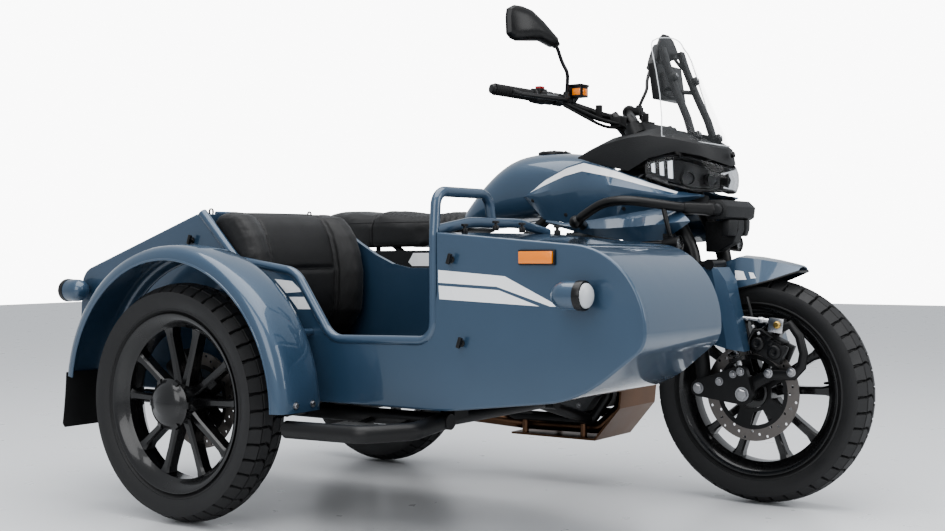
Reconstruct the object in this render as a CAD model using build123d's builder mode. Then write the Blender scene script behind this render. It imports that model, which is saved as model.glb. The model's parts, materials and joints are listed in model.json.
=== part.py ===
"""Three-wheeled outfit: a 500-class adventure motorcycle with a sidecar fixed on its right side.

Every piece is drawn from the rear axle: x forward, y to the left, z up from axle height, in millimetres.
Finished pieces are moved so that the origin is on the floor under the middle of the outfit.
"""
import os
from math import cos, radians, sin

from build123d import *

# Wheels
TYRE_DIAMETER = 640.0
TYRE_WIDTH = 130.0
RIM_FLANGE_RADIUS = 239.0
RIM_WIDTH = 104.0
FLANGE_THICKNESS = 7.0
BEAD_DEPTH = 11.0
RIM_DEPTH = 40.0
SPOKE_PAIRS = 5
SPOKE_WIDTH = 30.0
SPOKE_ARM = 17.0
SPOKE_SPREAD = 16.0
HUB_RADIUS = 46.0
FRONT_HUB_WIDTH = 164.0
REAR_HUB_WIDTH = 190.0
SIDE_HUB_WIDTH = 118.0
AXLE_RADIUS = 11.0
RUNNING_GAP = 1.5
TOUCH_GAP = 0.3
DISC_THICKNESS = 5.0
FRONT_DISC_RADIUS = 138.0
REAR_DISC_RADIUS = 120.0
SIDE_DISC_RADIUS = 130.0

# Where the three wheels stand
WHEELBASE = 1394.0
TRACK = 1113.0
WHEEL_LEAD = 224.0

# Steering head
RAKE = 27.0
HEAD_BACK = 389.0
HEAD_HEIGHT = 730.0
STEM_RADIUS = 22.0
STEM_LENGTH = 250.0
HEAD_TUBE_WALL = 9.0
CLAMP_THICKNESS = 26.0
CLAMP_GAP = 8.0
CLAMP_WALL = 9.0
FORK_OFFSET = 45.0
FORK_HALF_TRACK = 106.0
FORK_RADIUS = 22.0
FORK_STRAIGHT = 400.0
LINK_LENGTH = 132.0
LINK_HALF_TRACK = 137.0
LINK_THICKNESS = 18.0

# Handlebar
BAR_RADIUS = 11.0
BAR_HALF_WIDTH = 410.0
GRIP_LENGTH = 125.0
GRIP_RADIUS = 17.0

# Mudguards
FRONT_GUARD_GAP = 54.0
FRONT_GUARD_HALF_WIDTH = 74.0
SIDE_GUARD_GAP = 103.0
SIDE_GUARD_WIDTH = 210.0
SIDE_GUARD_DEPTH = 40.0
GUARD_SHEET = 6.0

# Motorcycle frame and engine
PIVOT_BACK = 485.0
PIVOT_Z = 80.0
SPAR_HALF_WIDTH = 142.0
SPAR_RADIUS = 16.0
CRADLE_RADIUS = 15.0
SUBFRAME_RADIUS = 12.0
ENGINE_HALF_WIDTH = 128.0
SWINGARM_HALF_WIDTH = 124.0
SWINGARM_RADIUS = 20.0
CHAIN_Y = 90.0
CHAIN_WIDTH = 14.0
CHAIN_HEIGHT = 14.0
REAR_SPROCKET_RADIUS = 92.0
DRIVE_SPROCKET_RADIUS = 38.0
SEAT_HALF_WIDTH = 142.0
SEAT_SKIRT_Y = 119.0
SEAT_SKIRT_Z = 409.0
SEAT_TAIL = -126.0
SEAT_NOSE_BACK = 75.0
TANK_HALF_WIDTH = 152.0
TANK_FOOT = 470.0
CRASH_BAR_RADIUS = 14.0

# Sidecar body
BODY_TO_WHEEL = 128.0
BODY_WIDTH = 535.0
NOSE_WIDTH = 375.0
BODY_WALL = 16.0
BODY_EDGE = 6.0
LID_GAP = 5.0
BODY_FLOOR = 10.0
RAIL_RADIUS = 13.0
SIDE_TUBE_RADIUS = 20.0
STEP_RADIUS = 22.0

# Values worked out from the driving sizes
TYRE_RADIUS = TYRE_DIAMETER / 2
BODY_OUT = -(TRACK - BODY_TO_WHEEL)
BODY_IN = BODY_OUT + BODY_WIDTH
HEAD_X = WHEELBASE - HEAD_BACK
PIVOT_X = HEAD_X - PIVOT_BACK
FRONT_CENTRE = (WHEELBASE, 0, 0)
REAR_CENTRE = (0, 0, 0)
SIDE_CENTRE = (WHEEL_LEAD, -TRACK, 0)
BAR_END = (HEAD_X - 254, BAR_HALF_WIDTH, HEAD_HEIGHT + 137)
BAR_BEND = (HEAD_X - 162, BAR_HALF_WIDTH * 0.55, HEAD_HEIGHT + 118)
BAR_MIDDLE = (HEAD_X - 70, 95, HEAD_HEIGHT + 73)
CRASH_BAR_FOOT = (HEAD_X - 100, 152, HEAD_HEIGHT - 262)
CRASH_BAR_KNEE = (HEAD_X - 74, 262, HEAD_HEIGHT - 244)
MIRROR_REACH = BAR_HALF_WIDTH + 70
BODY_BACK = WHEEL_LEAD - 622
MIDDLE_X = (WHEELBASE + TYRE_RADIUS + BODY_BACK) / 2
MIDDLE_Y = (MIRROR_REACH - TRACK - SIDE_GUARD_WIDTH / 2) / 2


def side_plane(y, x=0.0, z=0.0):
    """A plane seen from the right side, with its own x forward and its own y upward."""
    return Plane(origin=(x, y, z), x_dir=(1, 0, 0), z_dir=(0, -1, 0))


def steer_point(down, forward, y):
    """A point by its distance down the steering axis, forward of it, and to the left."""
    tilt = radians(RAKE)
    x = HEAD_X + down * sin(tilt) + forward * cos(tilt)
    z = HEAD_HEIGHT - down * cos(tilt) + forward * sin(tilt)
    return (x, y, z)


def head_point(x, y, z):
    """A point measured from the top of the steering head."""
    return (HEAD_X + x, y, HEAD_HEIGHT + z)


def tank_rise(share):
    """A height between the foot of the tank and the top of the steering head."""
    return TANK_FOOT + (HEAD_HEIGHT - TANK_FOOT) * share


def seat_run(share):
    """A place along the seat, from its tail to its nose over the swingarm pivot."""
    return SEAT_TAIL + (PIVOT_X - SEAT_NOSE_BACK - SEAT_TAIL) * share


def steer_plane(down):
    """A plane square to the steering axis, with its own x forward and its own y to the left."""
    tilt = radians(RAKE)
    return Plane(origin=steer_point(down, 0, 0), x_dir=(cos(tilt), 0, sin(tilt)),
                 z_dir=(-sin(tilt), 0, cos(tilt)))


def flip(point):
    """The same point on the other side of the motorcycle."""
    return (point[0], -point[1], point[2])


def bent_tube(points, radius, bend):
    """Add a round tube along points to the part being built, its corners bent to one radius."""
    with BuildLine() as route:
        FilletPolyline(*points, radius=bend)
    with BuildSketch(Plane(origin=route.line @ 0, z_dir=route.line % 0)) as section:
        Circle(radius)
    sweep(section.sketch, path=route.line)


def bar(start, end, radius, bore=0.0, mode=Mode.ADD):
    """Add a straight round bar between two points to the part being built, or cut one out of it."""
    run = Vector(*end) - Vector(*start)
    with BuildSketch(Plane(origin=start, z_dir=run)) as section:
        Circle(radius)
        if bore:
            Circle(bore, mode=Mode.SUBTRACT)
    extrude(section.sketch, amount=run.length, mode=mode)


def side_slab(points, y_low, y_high, mode=Mode.ADD):
    """Add a slab with a side-view outline, between two y values, to the part being built."""
    with BuildSketch(side_plane(y_high)) as outline:
        with BuildLine():
            Polyline(*points, close=True)
        make_face()
    extrude(outline.sketch, amount=y_high - y_low, mode=mode)


def plan_cut(points, z_low, z_high):
    """Keep only what lies inside a plan-view outline of the part being built."""
    with BuildSketch(Plane.XY.offset(z_low)) as outline:
        with BuildLine():
            Polyline(*points, close=True)
        make_face()
    extrude(outline.sketch, amount=z_high - z_low, mode=Mode.INTERSECT)


def front_cut(left_points, x_low, x_high):
    """Keep only what lies inside a front-view outline, alike on both sides, of the part being built."""
    right_points = [(-y, z) for y, z in reversed(left_points)]
    with BuildSketch(Plane(origin=(x_low, 0, 0), x_dir=(0, 1, 0), z_dir=(1, 0, 0))) as outline:
        with BuildLine():
            Polyline(*left_points, *right_points, close=True)
        make_face()
    extrude(outline.sketch, amount=x_high - x_low, mode=Mode.INTERSECT)


def both_sides(points):
    """Close an outline with its own mirror image on the right-hand side."""
    return points + [(x, -y) for x, y in reversed(points)]


def wrapped_band(outer, inner):
    """A plan-view band round the front, from left-hand points that run from the back to the middle."""
    right_outer = [(x, -y) for x, y in outer[-2::-1]]
    right_inner = [(x, -y) for x, y in inner]
    return outer + right_outer + right_inner + inner[-2::-1]


def ahead(points, x=0.0, z=0.0):
    """Shift side-view points by an anchor."""
    return [(x + px, z + pz) for px, pz in points]


def tyre(centre):
    """One tyre, a ring that sits between the flanges of its rim."""
    bead = RIM_FLANGE_RADIUS - BEAD_DEPTH + TOUCH_GAP
    seat = RIM_WIDTH / 2 - FLANGE_THICKNESS - TOUCH_GAP
    lip = RIM_FLANGE_RADIUS + 1
    half = TYRE_WIDTH / 2
    shoulder = (TYRE_RADIUS - 20, half - 9)
    wall = (TYRE_RADIUS - 48, half)
    with BuildPart() as ring:
        with BuildSketch(Plane(origin=centre)):
            with BuildLine():
                Polyline((lip, -seat), (bead, -seat), (bead, seat), (lip, seat))
                ThreePointArc((lip, seat), wall, shoulder)
                ThreePointArc(shoulder, (TYRE_RADIUS, 0), (shoulder[0], -shoulder[1]))
                ThreePointArc((shoulder[0], -shoulder[1]), (wall[0], -wall[1]), (lip, -seat))
            make_face()
        revolve(axis=Axis(centre, (0, 1, 0)))
    return ring


def cast_wheel(centre, hub_width):
    """One cast wheel: a rim, a hub with its bore, and pairs of spokes that fork towards the rim."""
    bed = RIM_FLANGE_RADIUS - BEAD_DEPTH
    half = RIM_WIDTH / 2
    inner = RIM_FLANGE_RADIUS - RIM_DEPTH
    fork = HUB_RADIUS + 34
    tip = inner + 4
    tip_x = tip * cos(radians(SPOKE_SPREAD))
    tip_y = tip * sin(radians(SPOKE_SPREAD))
    arm = SPOKE_ARM / 2
    with BuildPart() as wheel:
        with BuildSketch(Plane(origin=centre)):
            with BuildLine():
                Polyline((RIM_FLANGE_RADIUS, half), (RIM_FLANGE_RADIUS, half - FLANGE_THICKNESS),
                         (bed, half - FLANGE_THICKNESS), (bed, FLANGE_THICKNESS - half),
                         (RIM_FLANGE_RADIUS, FLANGE_THICKNESS - half), (RIM_FLANGE_RADIUS, -half),
                         (bed - 14, -half + 6), (inner, -half * 0.4), (inner, half * 0.4),
                         (bed - 14, half - 6), close=True)
            make_face()
        revolve(axis=Axis(centre, (0, 1, 0)))
        with BuildSketch(side_plane(centre[1], centre[0], centre[2])):
            with PolarLocations(0, SPOKE_PAIRS, start_angle=90):
                Polygon((0, -arm * 1.7), (fork, -arm * 1.5), (fork, arm * 1.5), (0, arm * 1.7), align=None)
                Polygon((fork - 8, -arm), (fork - 8, arm * 1.4), (tip_x, tip_y + arm),
                        (tip_x + 4, tip_y - arm), align=None)
                Polygon((fork - 8, arm), (fork - 8, -arm * 1.4), (tip_x, -tip_y - arm),
                        (tip_x + 4, -tip_y + arm), align=None)
        extrude(amount=SPOKE_WIDTH / 2, both=True)
        with BuildSketch(side_plane(centre[1], centre[0], centre[2])):
            Circle(HUB_RADIUS)
        extrude(amount=hub_width / 2, both=True)
        with BuildSketch(side_plane(centre[1], centre[0], centre[2])):
            Circle(AXLE_RADIUS + RUNNING_GAP)
        extrude(amount=hub_width, both=True, mode=Mode.SUBTRACT)
    return wheel


def brake_disc(centre, y, radius):
    """One brake disc round its hub."""
    with BuildPart() as disc:
        with BuildSketch(side_plane(y + DISC_THICKNESS / 2, centre[0], centre[2])):
            Circle(radius)
            Circle(HUB_RADIUS + TOUCH_GAP, mode=Mode.SUBTRACT)
        extrude(amount=DISC_THICKNESS)
    return disc


def arched_guard(centre, crown, depth, half_width, first, last):
    """A mudguard sheet bent over a wheel between two angles, measured from straight ahead."""
    turn = radians(first)
    face = Plane(origin=centre, x_dir=(cos(turn), 0, sin(turn)), z_dir=(-sin(turn), 0, cos(turn)))
    edge = half_width - GUARD_SHEET * 0.5
    with BuildSketch(face) as section:
        with BuildLine():
            ThreePointArc((crown - depth, -half_width), (crown, 0), (crown - depth, half_width))
            Line((crown - depth, half_width), (crown - depth - GUARD_SHEET, edge))
            ThreePointArc((crown - depth - GUARD_SHEET, edge), (crown - GUARD_SHEET, 0),
                          (crown - depth - GUARD_SHEET, -edge))
            Line((crown - depth - GUARD_SHEET, -edge), (crown - depth, -half_width))
        make_face()
    revolve(section.sketch, axis=Axis(centre, (0, -1, 0)), revolution_arc=last - first)


# Three wheels
front_tyre = tyre(FRONT_CENTRE)
rear_tyre = tyre(REAR_CENTRE)
sidecar_tyre = tyre(SIDE_CENTRE)
front_rim = cast_wheel(FRONT_CENTRE, FRONT_HUB_WIDTH)
rear_rim = cast_wheel(REAR_CENTRE, REAR_HUB_WIDTH)
CAP_RADIUS = 62.0
CAP_DEPTH = 30.0
CAP_START = -TRACK - SIDE_HUB_WIDTH / 2
with BuildPart() as sidecar_rim:
    add(cast_wheel(SIDE_CENTRE, SIDE_HUB_WIDTH).part)
    with BuildSketch(side_plane(CAP_START, WHEEL_LEAD, 0)):
        Circle(CAP_RADIUS)
    extrude(amount=CAP_DEPTH)
    fillet(sidecar_rim.faces().sort_by(Axis.Y)[0].edges(), CAP_DEPTH * 0.8)
FRONT_DISC_Y = -FRONT_HUB_WIDTH / 2 + 8
REAR_DISC_Y = -REAR_HUB_WIDTH / 2 + 14
SIDE_DISC_Y = -TRACK + SIDE_HUB_WIDTH / 2 - 6
front_disc = brake_disc(FRONT_CENTRE, FRONT_DISC_Y, FRONT_DISC_RADIUS)
with BuildPart() as rear_disc_sprocket:
    add(brake_disc(REAR_CENTRE, REAR_DISC_Y, REAR_DISC_RADIUS).part)
    add(brake_disc(REAR_CENTRE, CHAIN_Y, REAR_SPROCKET_RADIUS).part)
sidecar_disc = brake_disc(SIDE_CENTRE, SIDE_DISC_Y, SIDE_DISC_RADIUS)

# Steering stem with its two fork clamps
with BuildPart() as fork_clamps:
    bar(steer_point(-CLAMP_THICKNESS / 2, 0, 0), steer_point(STEM_LENGTH, 0, 0), STEM_RADIUS)
    for clamp_end in (CLAMP_THICKNESS / 2, STEM_LENGTH):
        with BuildSketch(steer_plane(clamp_end)):
            with Locations((FORK_OFFSET, FORK_HALF_TRACK), (FORK_OFFSET, -FORK_HALF_TRACK)):
                Circle(FORK_RADIUS + CLAMP_WALL)
            Circle(STEM_RADIUS + 8)
            make_hull()
        extrude(amount=CLAMP_THICKNESS)
    with BuildSketch(steer_plane(STEM_LENGTH)):
        with Locations((FORK_OFFSET, FORK_HALF_TRACK), (FORK_OFFSET, -FORK_HALF_TRACK)):
            Circle(FORK_RADIUS + TOUCH_GAP)
    extrude(amount=STEM_LENGTH * 2, mode=Mode.SUBTRACT)

# Fork legs, bent down to the pivots of the leading links
LINK_PIVOT = (WHEELBASE - LINK_LENGTH, LINK_HALF_TRACK, 10)
SHOCK_TOP = (WHEELBASE - 85, LINK_HALF_TRACK, 360)
SHOCK_FOOT = (WHEELBASE - 5, LINK_HALF_TRACK, 62)
LEG_KNEE = steer_point(FORK_STRAIGHT, FORK_OFFSET, FORK_HALF_TRACK)
with BuildPart() as fork_legs:
    for side in (1, -1):
        leg_y = side * FORK_HALF_TRACK
        bent_tube([steer_point(-25, FORK_OFFSET, leg_y), (LEG_KNEE[0], leg_y, LEG_KNEE[2]),
                   (LINK_PIVOT[0], leg_y, LINK_PIVOT[2])], FORK_RADIUS, 150)
        bar((LINK_PIVOT[0], leg_y - side * 22, LINK_PIVOT[2]),
            (LINK_PIVOT[0], side * (LINK_HALF_TRACK - LINK_THICKNESS / 2 - TOUCH_GAP), LINK_PIVOT[2]), 26)
        bar((LEG_KNEE[0], leg_y, SHOCK_TOP[2] - 4), (SHOCK_TOP[0] + 4, leg_y, SHOCK_TOP[2]), 12)
        bar((SHOCK_TOP[0], leg_y - side * 16, SHOCK_TOP[2]),
            (SHOCK_TOP[0], side * (LINK_HALF_TRACK + 40), SHOCK_TOP[2]), 15)

# Leading links with the front axle
with BuildPart() as leading_links:
    with BuildSketch(side_plane(LINK_HALF_TRACK + LINK_THICKNESS / 2)):
        with Locations((LINK_PIVOT[0], LINK_PIVOT[2])):
            Circle(23)
        with Locations((WHEELBASE, 0)):
            Circle(30)
        with Locations((SHOCK_FOOT[0], SHOCK_FOOT[2])):
            Circle(18)
        make_hull()
    extrude(amount=LINK_THICKNESS)
    bar((WHEELBASE, FRONT_HUB_WIDTH / 2 + RUNNING_GAP, 0), (WHEELBASE, LINK_HALF_TRACK, 0), 19)
    mirror(about=Plane.XZ)
    bar((WHEELBASE, -LINK_HALF_TRACK - 18, 0), (WHEELBASE, LINK_HALF_TRACK + 18, 0), AXLE_RADIUS)

# Coil shock absorbers on the leading links
SHOCK_RADIUS = 25.0
with BuildPart() as front_shocks:
    shock_run = Vector(*SHOCK_TOP) - Vector(*SHOCK_FOOT)
    foot = Vector(*SHOCK_FOOT) + shock_run.normalized() * 24
    head = Vector(*SHOCK_TOP) - shock_run.normalized() * 13
    bar(foot, head, SHOCK_RADIUS - 12)
    bar((foot + shock_run.normalized() * 40), (head - shock_run.normalized() * 10),
        SHOCK_RADIUS)
    mirror(about=Plane.XZ)
    add(fork_legs.part, mode=Mode.SUBTRACT)
    add(leading_links.part, mode=Mode.SUBTRACT)

# Shields over the shock absorbers
SHIELD_RADIUS = 40.0
SHIELD_LENGTH = 255.0
with BuildPart() as fork_shields:
    shield_start = Vector(*SHOCK_TOP) + shock_run.normalized() * 18
    shield_face = Plane(origin=shield_start, x_dir=(0, 1, 0), z_dir=-shock_run.normalized())
    with BuildSketch(shield_face):
        Circle(SHIELD_RADIUS)
        Circle(SHIELD_RADIUS - 4, mode=Mode.SUBTRACT)
        with Locations((-SHIELD_RADIUS, 0)):
            Rectangle(SHIELD_RADIUS * 2, SHIELD_RADIUS * 3, mode=Mode.SUBTRACT)
    extrude(amount=SHIELD_LENGTH)
    mirror(about=Plane.XZ)
    add(fork_legs.part, mode=Mode.SUBTRACT)

# Front mudguard
FRONT_GUARD_CROWN = TYRE_RADIUS + FRONT_GUARD_GAP
GUARD_STAY = (LEG_KNEE[0] + 8, FRONT_GUARD_HALF_WIDTH - 6, 318)
with BuildPart() as front_mudguard:
    arched_guard(FRONT_CENTRE, FRONT_GUARD_CROWN, 24, FRONT_GUARD_HALF_WIDTH, 66, 142)
    for side in (1, -1):
        stay_y = FORK_HALF_TRACK - FORK_RADIUS + 1
        bar((GUARD_STAY[0], side * GUARD_STAY[1], GUARD_STAY[2]),
            (GUARD_STAY[0], side * stay_y, GUARD_STAY[2]), 9)
    add(fork_legs.part, mode=Mode.SUBTRACT)

# Front brake calliper on the right-hand link
with BuildPart() as front_calliper:
    with BuildSketch(side_plane(FRONT_DISC_Y + 24, WHEELBASE + 62, 108)):
        RectangleRounded(92, 58, 12, rotation=-30)
    extrude(amount=48)
    with BuildSketch(side_plane(FRONT_DISC_Y + DISC_THICKNESS, WHEELBASE, 0)):
        Circle(FRONT_DISC_RADIUS + 6)
    extrude(amount=DISC_THICKNESS * 2, mode=Mode.SUBTRACT)
    link_face = -LINK_HALF_TRACK + LINK_THICKNESS / 2
    with BuildSketch(side_plane(FRONT_DISC_Y - 24)):
        with Locations((WHEELBASE + 58, 108)):
            Circle(20)
        with Locations((WHEELBASE - 2, 40)):
            Circle(20)
        make_hull()
    extrude(amount=FRONT_DISC_Y - 24 - link_face - TOUCH_GAP)

# Handlebar on two risers
with BuildPart() as handlebar:
    bent_tube([flip(BAR_END), flip(BAR_BEND), flip(BAR_MIDDLE), BAR_MIDDLE, BAR_BEND, BAR_END], BAR_RADIUS, 45)
    for side in (1, -1):
        riser_foot = steer_point(-CLAMP_THICKNESS / 2, -4, side * 48)
        bar(riser_foot, (BAR_MIDDLE[0], side * 48, BAR_MIDDLE[2] + 6), 17)
    add(fork_clamps.part, mode=Mode.SUBTRACT)

# Rubber grips, switch housings with levers, and the brake fluid reservoir
GRIP_RUN = (Vector(*BAR_BEND) - Vector(*BAR_END)).normalized()
grip_end = tuple(Vector(*BAR_END) + GRIP_RUN * GRIP_LENGTH)
housing_end = tuple(Vector(*BAR_END) + GRIP_RUN * (GRIP_LENGTH + 55))
with BuildPart() as grips:
    for shift in (BAR_END, flip(BAR_END)):
        far = grip_end if shift[1] > 0 else flip(grip_end)
        bar(shift, far, GRIP_RADIUS, BAR_RADIUS + TOUCH_GAP)
with BuildPart() as bar_controls:
    lever_pivot = Vector(*housing_end) + Vector(38, 0, -4)
    lever_tip = Vector(*BAR_END) + Vector(58, -6, -12)
    housing_start = (Vector(*grip_end) + GRIP_RUN * 2)
    bar(housing_start, housing_end, 21, BAR_RADIUS + TOUCH_GAP)
    bar((Vector(*housing_end) + Vector(13, 4, -2) - GRIP_RUN * 12), lever_pivot, 11)
    bar(lever_pivot, lever_tip, 6)
    mirror(about=Plane.XZ)
    with BuildSketch(Plane.XY.offset(housing_end[2] + 12)):
        with Locations((lever_pivot.X - 14, -housing_end[1])):
            Circle(21)
    extrude(amount=34)
    add(handlebar.part, mode=Mode.SUBTRACT)

# Mirrors on bent stems
MIRROR_WIDTH = 185.0
MIRROR_HEIGHT = 96.0
MIRROR_DEPTH = 40.0
MIRROR_TILT = 24.0
MIRROR_X = HEAD_X - 142
mirror_middle = (MIRROR_X, MIRROR_REACH - MIRROR_WIDTH / 2, HEAD_HEIGHT + 312)
stem_foot = (housing_end[0] + 20, housing_end[1] + 6, housing_end[2] + 19)
with BuildPart() as mirrors:
    mirror_face = Plane(origin=mirror_middle, x_dir=(0, cos(radians(MIRROR_TILT)), sin(radians(MIRROR_TILT))),
                        z_dir=(1, 0, 0))
    with BuildSketch(mirror_face):
        RectangleRounded(MIRROR_WIDTH, MIRROR_HEIGHT, MIRROR_HEIGHT * 0.36)
    extrude(amount=MIRROR_DEPTH)
    fillet(mirrors.faces().sort_by(Axis.X)[-1].edges(), MIRROR_DEPTH * 0.6)
    bent_tube([stem_foot, (stem_foot[0] + 14, stem_foot[1] + 8, stem_foot[2] + 74),
               (MIRROR_X + 20, stem_foot[1] + 40, HEAD_HEIGHT + 262),
               (MIRROR_X + 18, mirror_middle[1] - 30, mirror_middle[2] - 18)], 6, 30)
    mirror(about=Plane.XZ)
    add(bar_controls.part, mode=Mode.SUBTRACT)

# Main frame: head tube, spars, swingarm pivot, cradle under the engine, seat subframe and foot pegs
with BuildPart() as main_frame:
    bent_tube([head_point(42, 24, -80), head_point(-100, SPAR_HALF_WIDTH, -130),
               (PIVOT_X + 90, SPAR_HALF_WIDTH, 390), (PIVOT_X, SPAR_HALF_WIDTH, PIVOT_Z)], SPAR_RADIUS, 70)
    bar((PIVOT_X + 70, 0, 360), (PIVOT_X + 70, SPAR_HALF_WIDTH, 360), 14)
    bent_tube([head_point(22, 60, -170), (HEAD_X - 45, 62, 300), (HEAD_X - 75, 75, -40),
               (HEAD_X - 120, 92, -112), (PIVOT_X + 80, 105, -112), (PIVOT_X + 4, 128, PIVOT_Z - 10)],
              CRADLE_RADIUS, 30)
    bar(head_point(70, 12, -160), head_point(18, 60, -182), 12)
    bent_tube([(PIVOT_X + 128, SPAR_HALF_WIDTH - 34, 424), (PIVOT_X - 120, 104, 436), (-120, 92, 440)],
              SUBFRAME_RADIUS, 200)
    bar((PIVOT_X + 18, SPAR_HALF_WIDTH - 32, 150), (120, 102, 430), SUBFRAME_RADIUS - 2)
    bar((-100, 0, 440), (-100, 94, 440), SUBFRAME_RADIUS - 2)
    bar((PIVOT_X - 40, 0, 432), (PIVOT_X - 40, 106, 432), SUBFRAME_RADIUS - 2)
    bar((PIVOT_X + 20, SPAR_HALF_WIDTH - 36, 150), (PIVOT_X + 20, SPAR_HALF_WIDTH, 150), 14)
    bar((PIVOT_X + 110, SPAR_HALF_WIDTH - 38, 424), (PIVOT_X + 110, SPAR_HALF_WIDTH, 424), 14)
    side_slab(ahead([(-70, -52), (-20, -40), (14, 60), (-14, 70), (-60, -20)], PIVOT_X),
              SPAR_HALF_WIDTH + 6, SPAR_HALF_WIDTH + 16)
    bar((PIVOT_X - 45, SPAR_HALF_WIDTH + 8, -40), (PIVOT_X - 45, SPAR_HALF_WIDTH + 108, -40), 14)
    mirror(about=Plane.XZ)
    bar(steer_point(CLAMP_THICKNESS / 2 + CLAMP_GAP, 0, 0),
        steer_point(STEM_LENGTH - CLAMP_THICKNESS - CLAMP_GAP, 0, 0),
        STEM_RADIUS + RUNNING_GAP + HEAD_TUBE_WALL)
    bar((PIVOT_X, -SPAR_HALF_WIDTH - 22, PIVOT_Z), (PIVOT_X, SPAR_HALF_WIDTH + 22, PIVOT_Z), 15)
    bar(steer_point(0, 0, 0), steer_point(STEM_LENGTH, 0, 0), STEM_RADIUS + RUNNING_GAP, mode=Mode.SUBTRACT)

# Engine: crankcase, gearbox, leaning cylinder block and head, round side covers
ENGINE_X = PIVOT_X + 280
DRIVE_X = PIVOT_X + 84
DRIVE_Z = 70.0
CYLINDER_LEAN = 15.0
with BuildPart() as engine:
    side_slab(ahead([(-122, -84), (-126, 160), (-60, 222), (60, 226), (112, 130), (118, -30), (80, -84)],
                    ENGINE_X), -ENGINE_HALF_WIDTH, ENGINE_HALF_WIDTH)
    side_slab(ahead([(-230, -40), (-236, 130), (-120, 175), (-110, 20), (-120, -60)], ENGINE_X), -70, 70)
    lean = radians(CYLINDER_LEAN)
    for rise, length, depth, width in ((180, 150, 178, 216), (330, 62, 190, 232), (392, 38, 160, 200)):
        barrel = Plane(origin=(ENGINE_X + rise * sin(lean) - 40, 0, rise * cos(lean) + 20),
                       x_dir=(cos(lean), 0, -sin(lean)), z_dir=(sin(lean), 0, cos(lean)))
        with BuildSketch(barrel):
            RectangleRounded(depth, width, 18)
        extrude(amount=length)
    for side in (1, -1):
        for cover_x, cover_z, cover_radius, cover_out in ((50, 50, 88, 36), (-80, 70, 70, 24)):
            with BuildSketch(side_plane(side * ENGINE_HALF_WIDTH, ENGINE_X + cover_x, cover_z)):
                Circle(cover_radius)
            extrude(amount=-side * cover_out)
    bar((DRIVE_X, 60, DRIVE_Z), (DRIVE_X, CHAIN_Y + 6, DRIVE_Z), 20)
    bar((DRIVE_X, CHAIN_Y - 3, DRIVE_Z), (DRIVE_X, CHAIN_Y + 3, DRIVE_Z), DRIVE_SPROCKET_RADIUS)
    add(main_frame.part, mode=Mode.SUBTRACT)

# Radiator behind the front wheel
RADIATOR_HALF_WIDTH = 165.0
with BuildPart() as radiator:
    side_slab(ahead([(2, -468), (32, -474), (66, -280), (36, -274)], HEAD_X, HEAD_HEIGHT),
              -RADIATOR_HALF_WIDTH, RADIATOR_HALF_WIDTH)
    add(main_frame.part, mode=Mode.SUBTRACT)

# Exhaust pipe and silencer on the right
with BuildPart() as exhaust:
    bent_tube([(ENGINE_X + 140, -20, 372), (ENGINE_X + 172, -20, 310), (ENGINE_X + 168, -20, 40),
               (ENGINE_X + 146, -24, -80), (ENGINE_X + 80, -36, -142), (PIVOT_X + 110, -60, -142),
               (PIVOT_X - 60, -150, -118), (PIVOT_X - 220, -214, 10), (PIVOT_X - 270, -228, 50)], 19, 34)
    bar((PIVOT_X - 262, -228, 48), (PIVOT_X - 690, -240, 150), 58)
    add(engine.part, mode=Mode.SUBTRACT)
    add(main_frame.part, mode=Mode.SUBTRACT)

# Skid plate
with BuildPart() as skid_plate:
    side_slab(ahead([(0, 60), (-14, -70), (-100, -172), (-400, -172), (-400, -166), (-103, -166),
                     (-20, -68), (-7, 61)], HEAD_X), -112, 112)
    for side in (1, -1):
        bar((HEAD_X - 150, side * 92, -170), (HEAD_X - 150, side * 92, -126), 10)
        bar((PIVOT_X + 130, side * 100, -170), (PIVOT_X + 130, side * 100, -122), 10)
    add(main_frame.part, mode=Mode.SUBTRACT)

# Swingarm with pivot cross tube and rear axle
with BuildPart() as swingarm:
    bent_tube([(PIVOT_X, 100, PIVOT_Z), (PIVOT_X - 100, SWINGARM_HALF_WIDTH, PIVOT_Z - 12),
               (-34, SWINGARM_HALF_WIDTH, 0)], SWINGARM_RADIUS, 300)
    bar((PIVOT_X - 88, 0, PIVOT_Z - 6), (PIVOT_X - 88, SWINGARM_HALF_WIDTH, PIVOT_Z - 6), 22)
    bar((0, REAR_HUB_WIDTH / 2 + RUNNING_GAP, 0), (0, SWINGARM_HALF_WIDTH, 0), 18)
    mirror(about=Plane.XZ)
    bar((0, -SWINGARM_HALF_WIDTH - 34, 0), (0, SWINGARM_HALF_WIDTH + 34, 0), AXLE_RADIUS)
    bar((PIVOT_X, -160, PIVOT_Z), (PIVOT_X, 160, PIVOT_Z), 15 + TOUCH_GAP, mode=Mode.SUBTRACT)
    add(main_frame.part, mode=Mode.SUBTRACT)

# Rear shock absorber
with BuildPart() as rear_shock:
    low = Vector(PIVOT_X - 88, 0, PIVOT_Z + 16.5)
    high = Vector(PIVOT_X + 62, 0, 346)
    reach = (high - low).normalized()
    bar(low, high, 13)
    bar((low + reach * 60), (high - reach * 40), 33)
    add(swingarm.part, mode=Mode.SUBTRACT)
    add(main_frame.part, mode=Mode.SUBTRACT)

# Drive chain, one closed loop round the two sprockets
with BuildPart() as drive_chain:
    for grow, mode in ((CHAIN_HEIGHT, Mode.ADD), (0.0, Mode.SUBTRACT)):
        with BuildSketch(side_plane(CHAIN_Y + CHAIN_WIDTH / 2)):
            Circle(REAR_SPROCKET_RADIUS + 1 + grow)
            with Locations((DRIVE_X, DRIVE_Z)):
                Circle(DRIVE_SPROCKET_RADIUS + 1 + grow)
            make_hull()
        extrude(amount=CHAIN_WIDTH, mode=mode)

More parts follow.
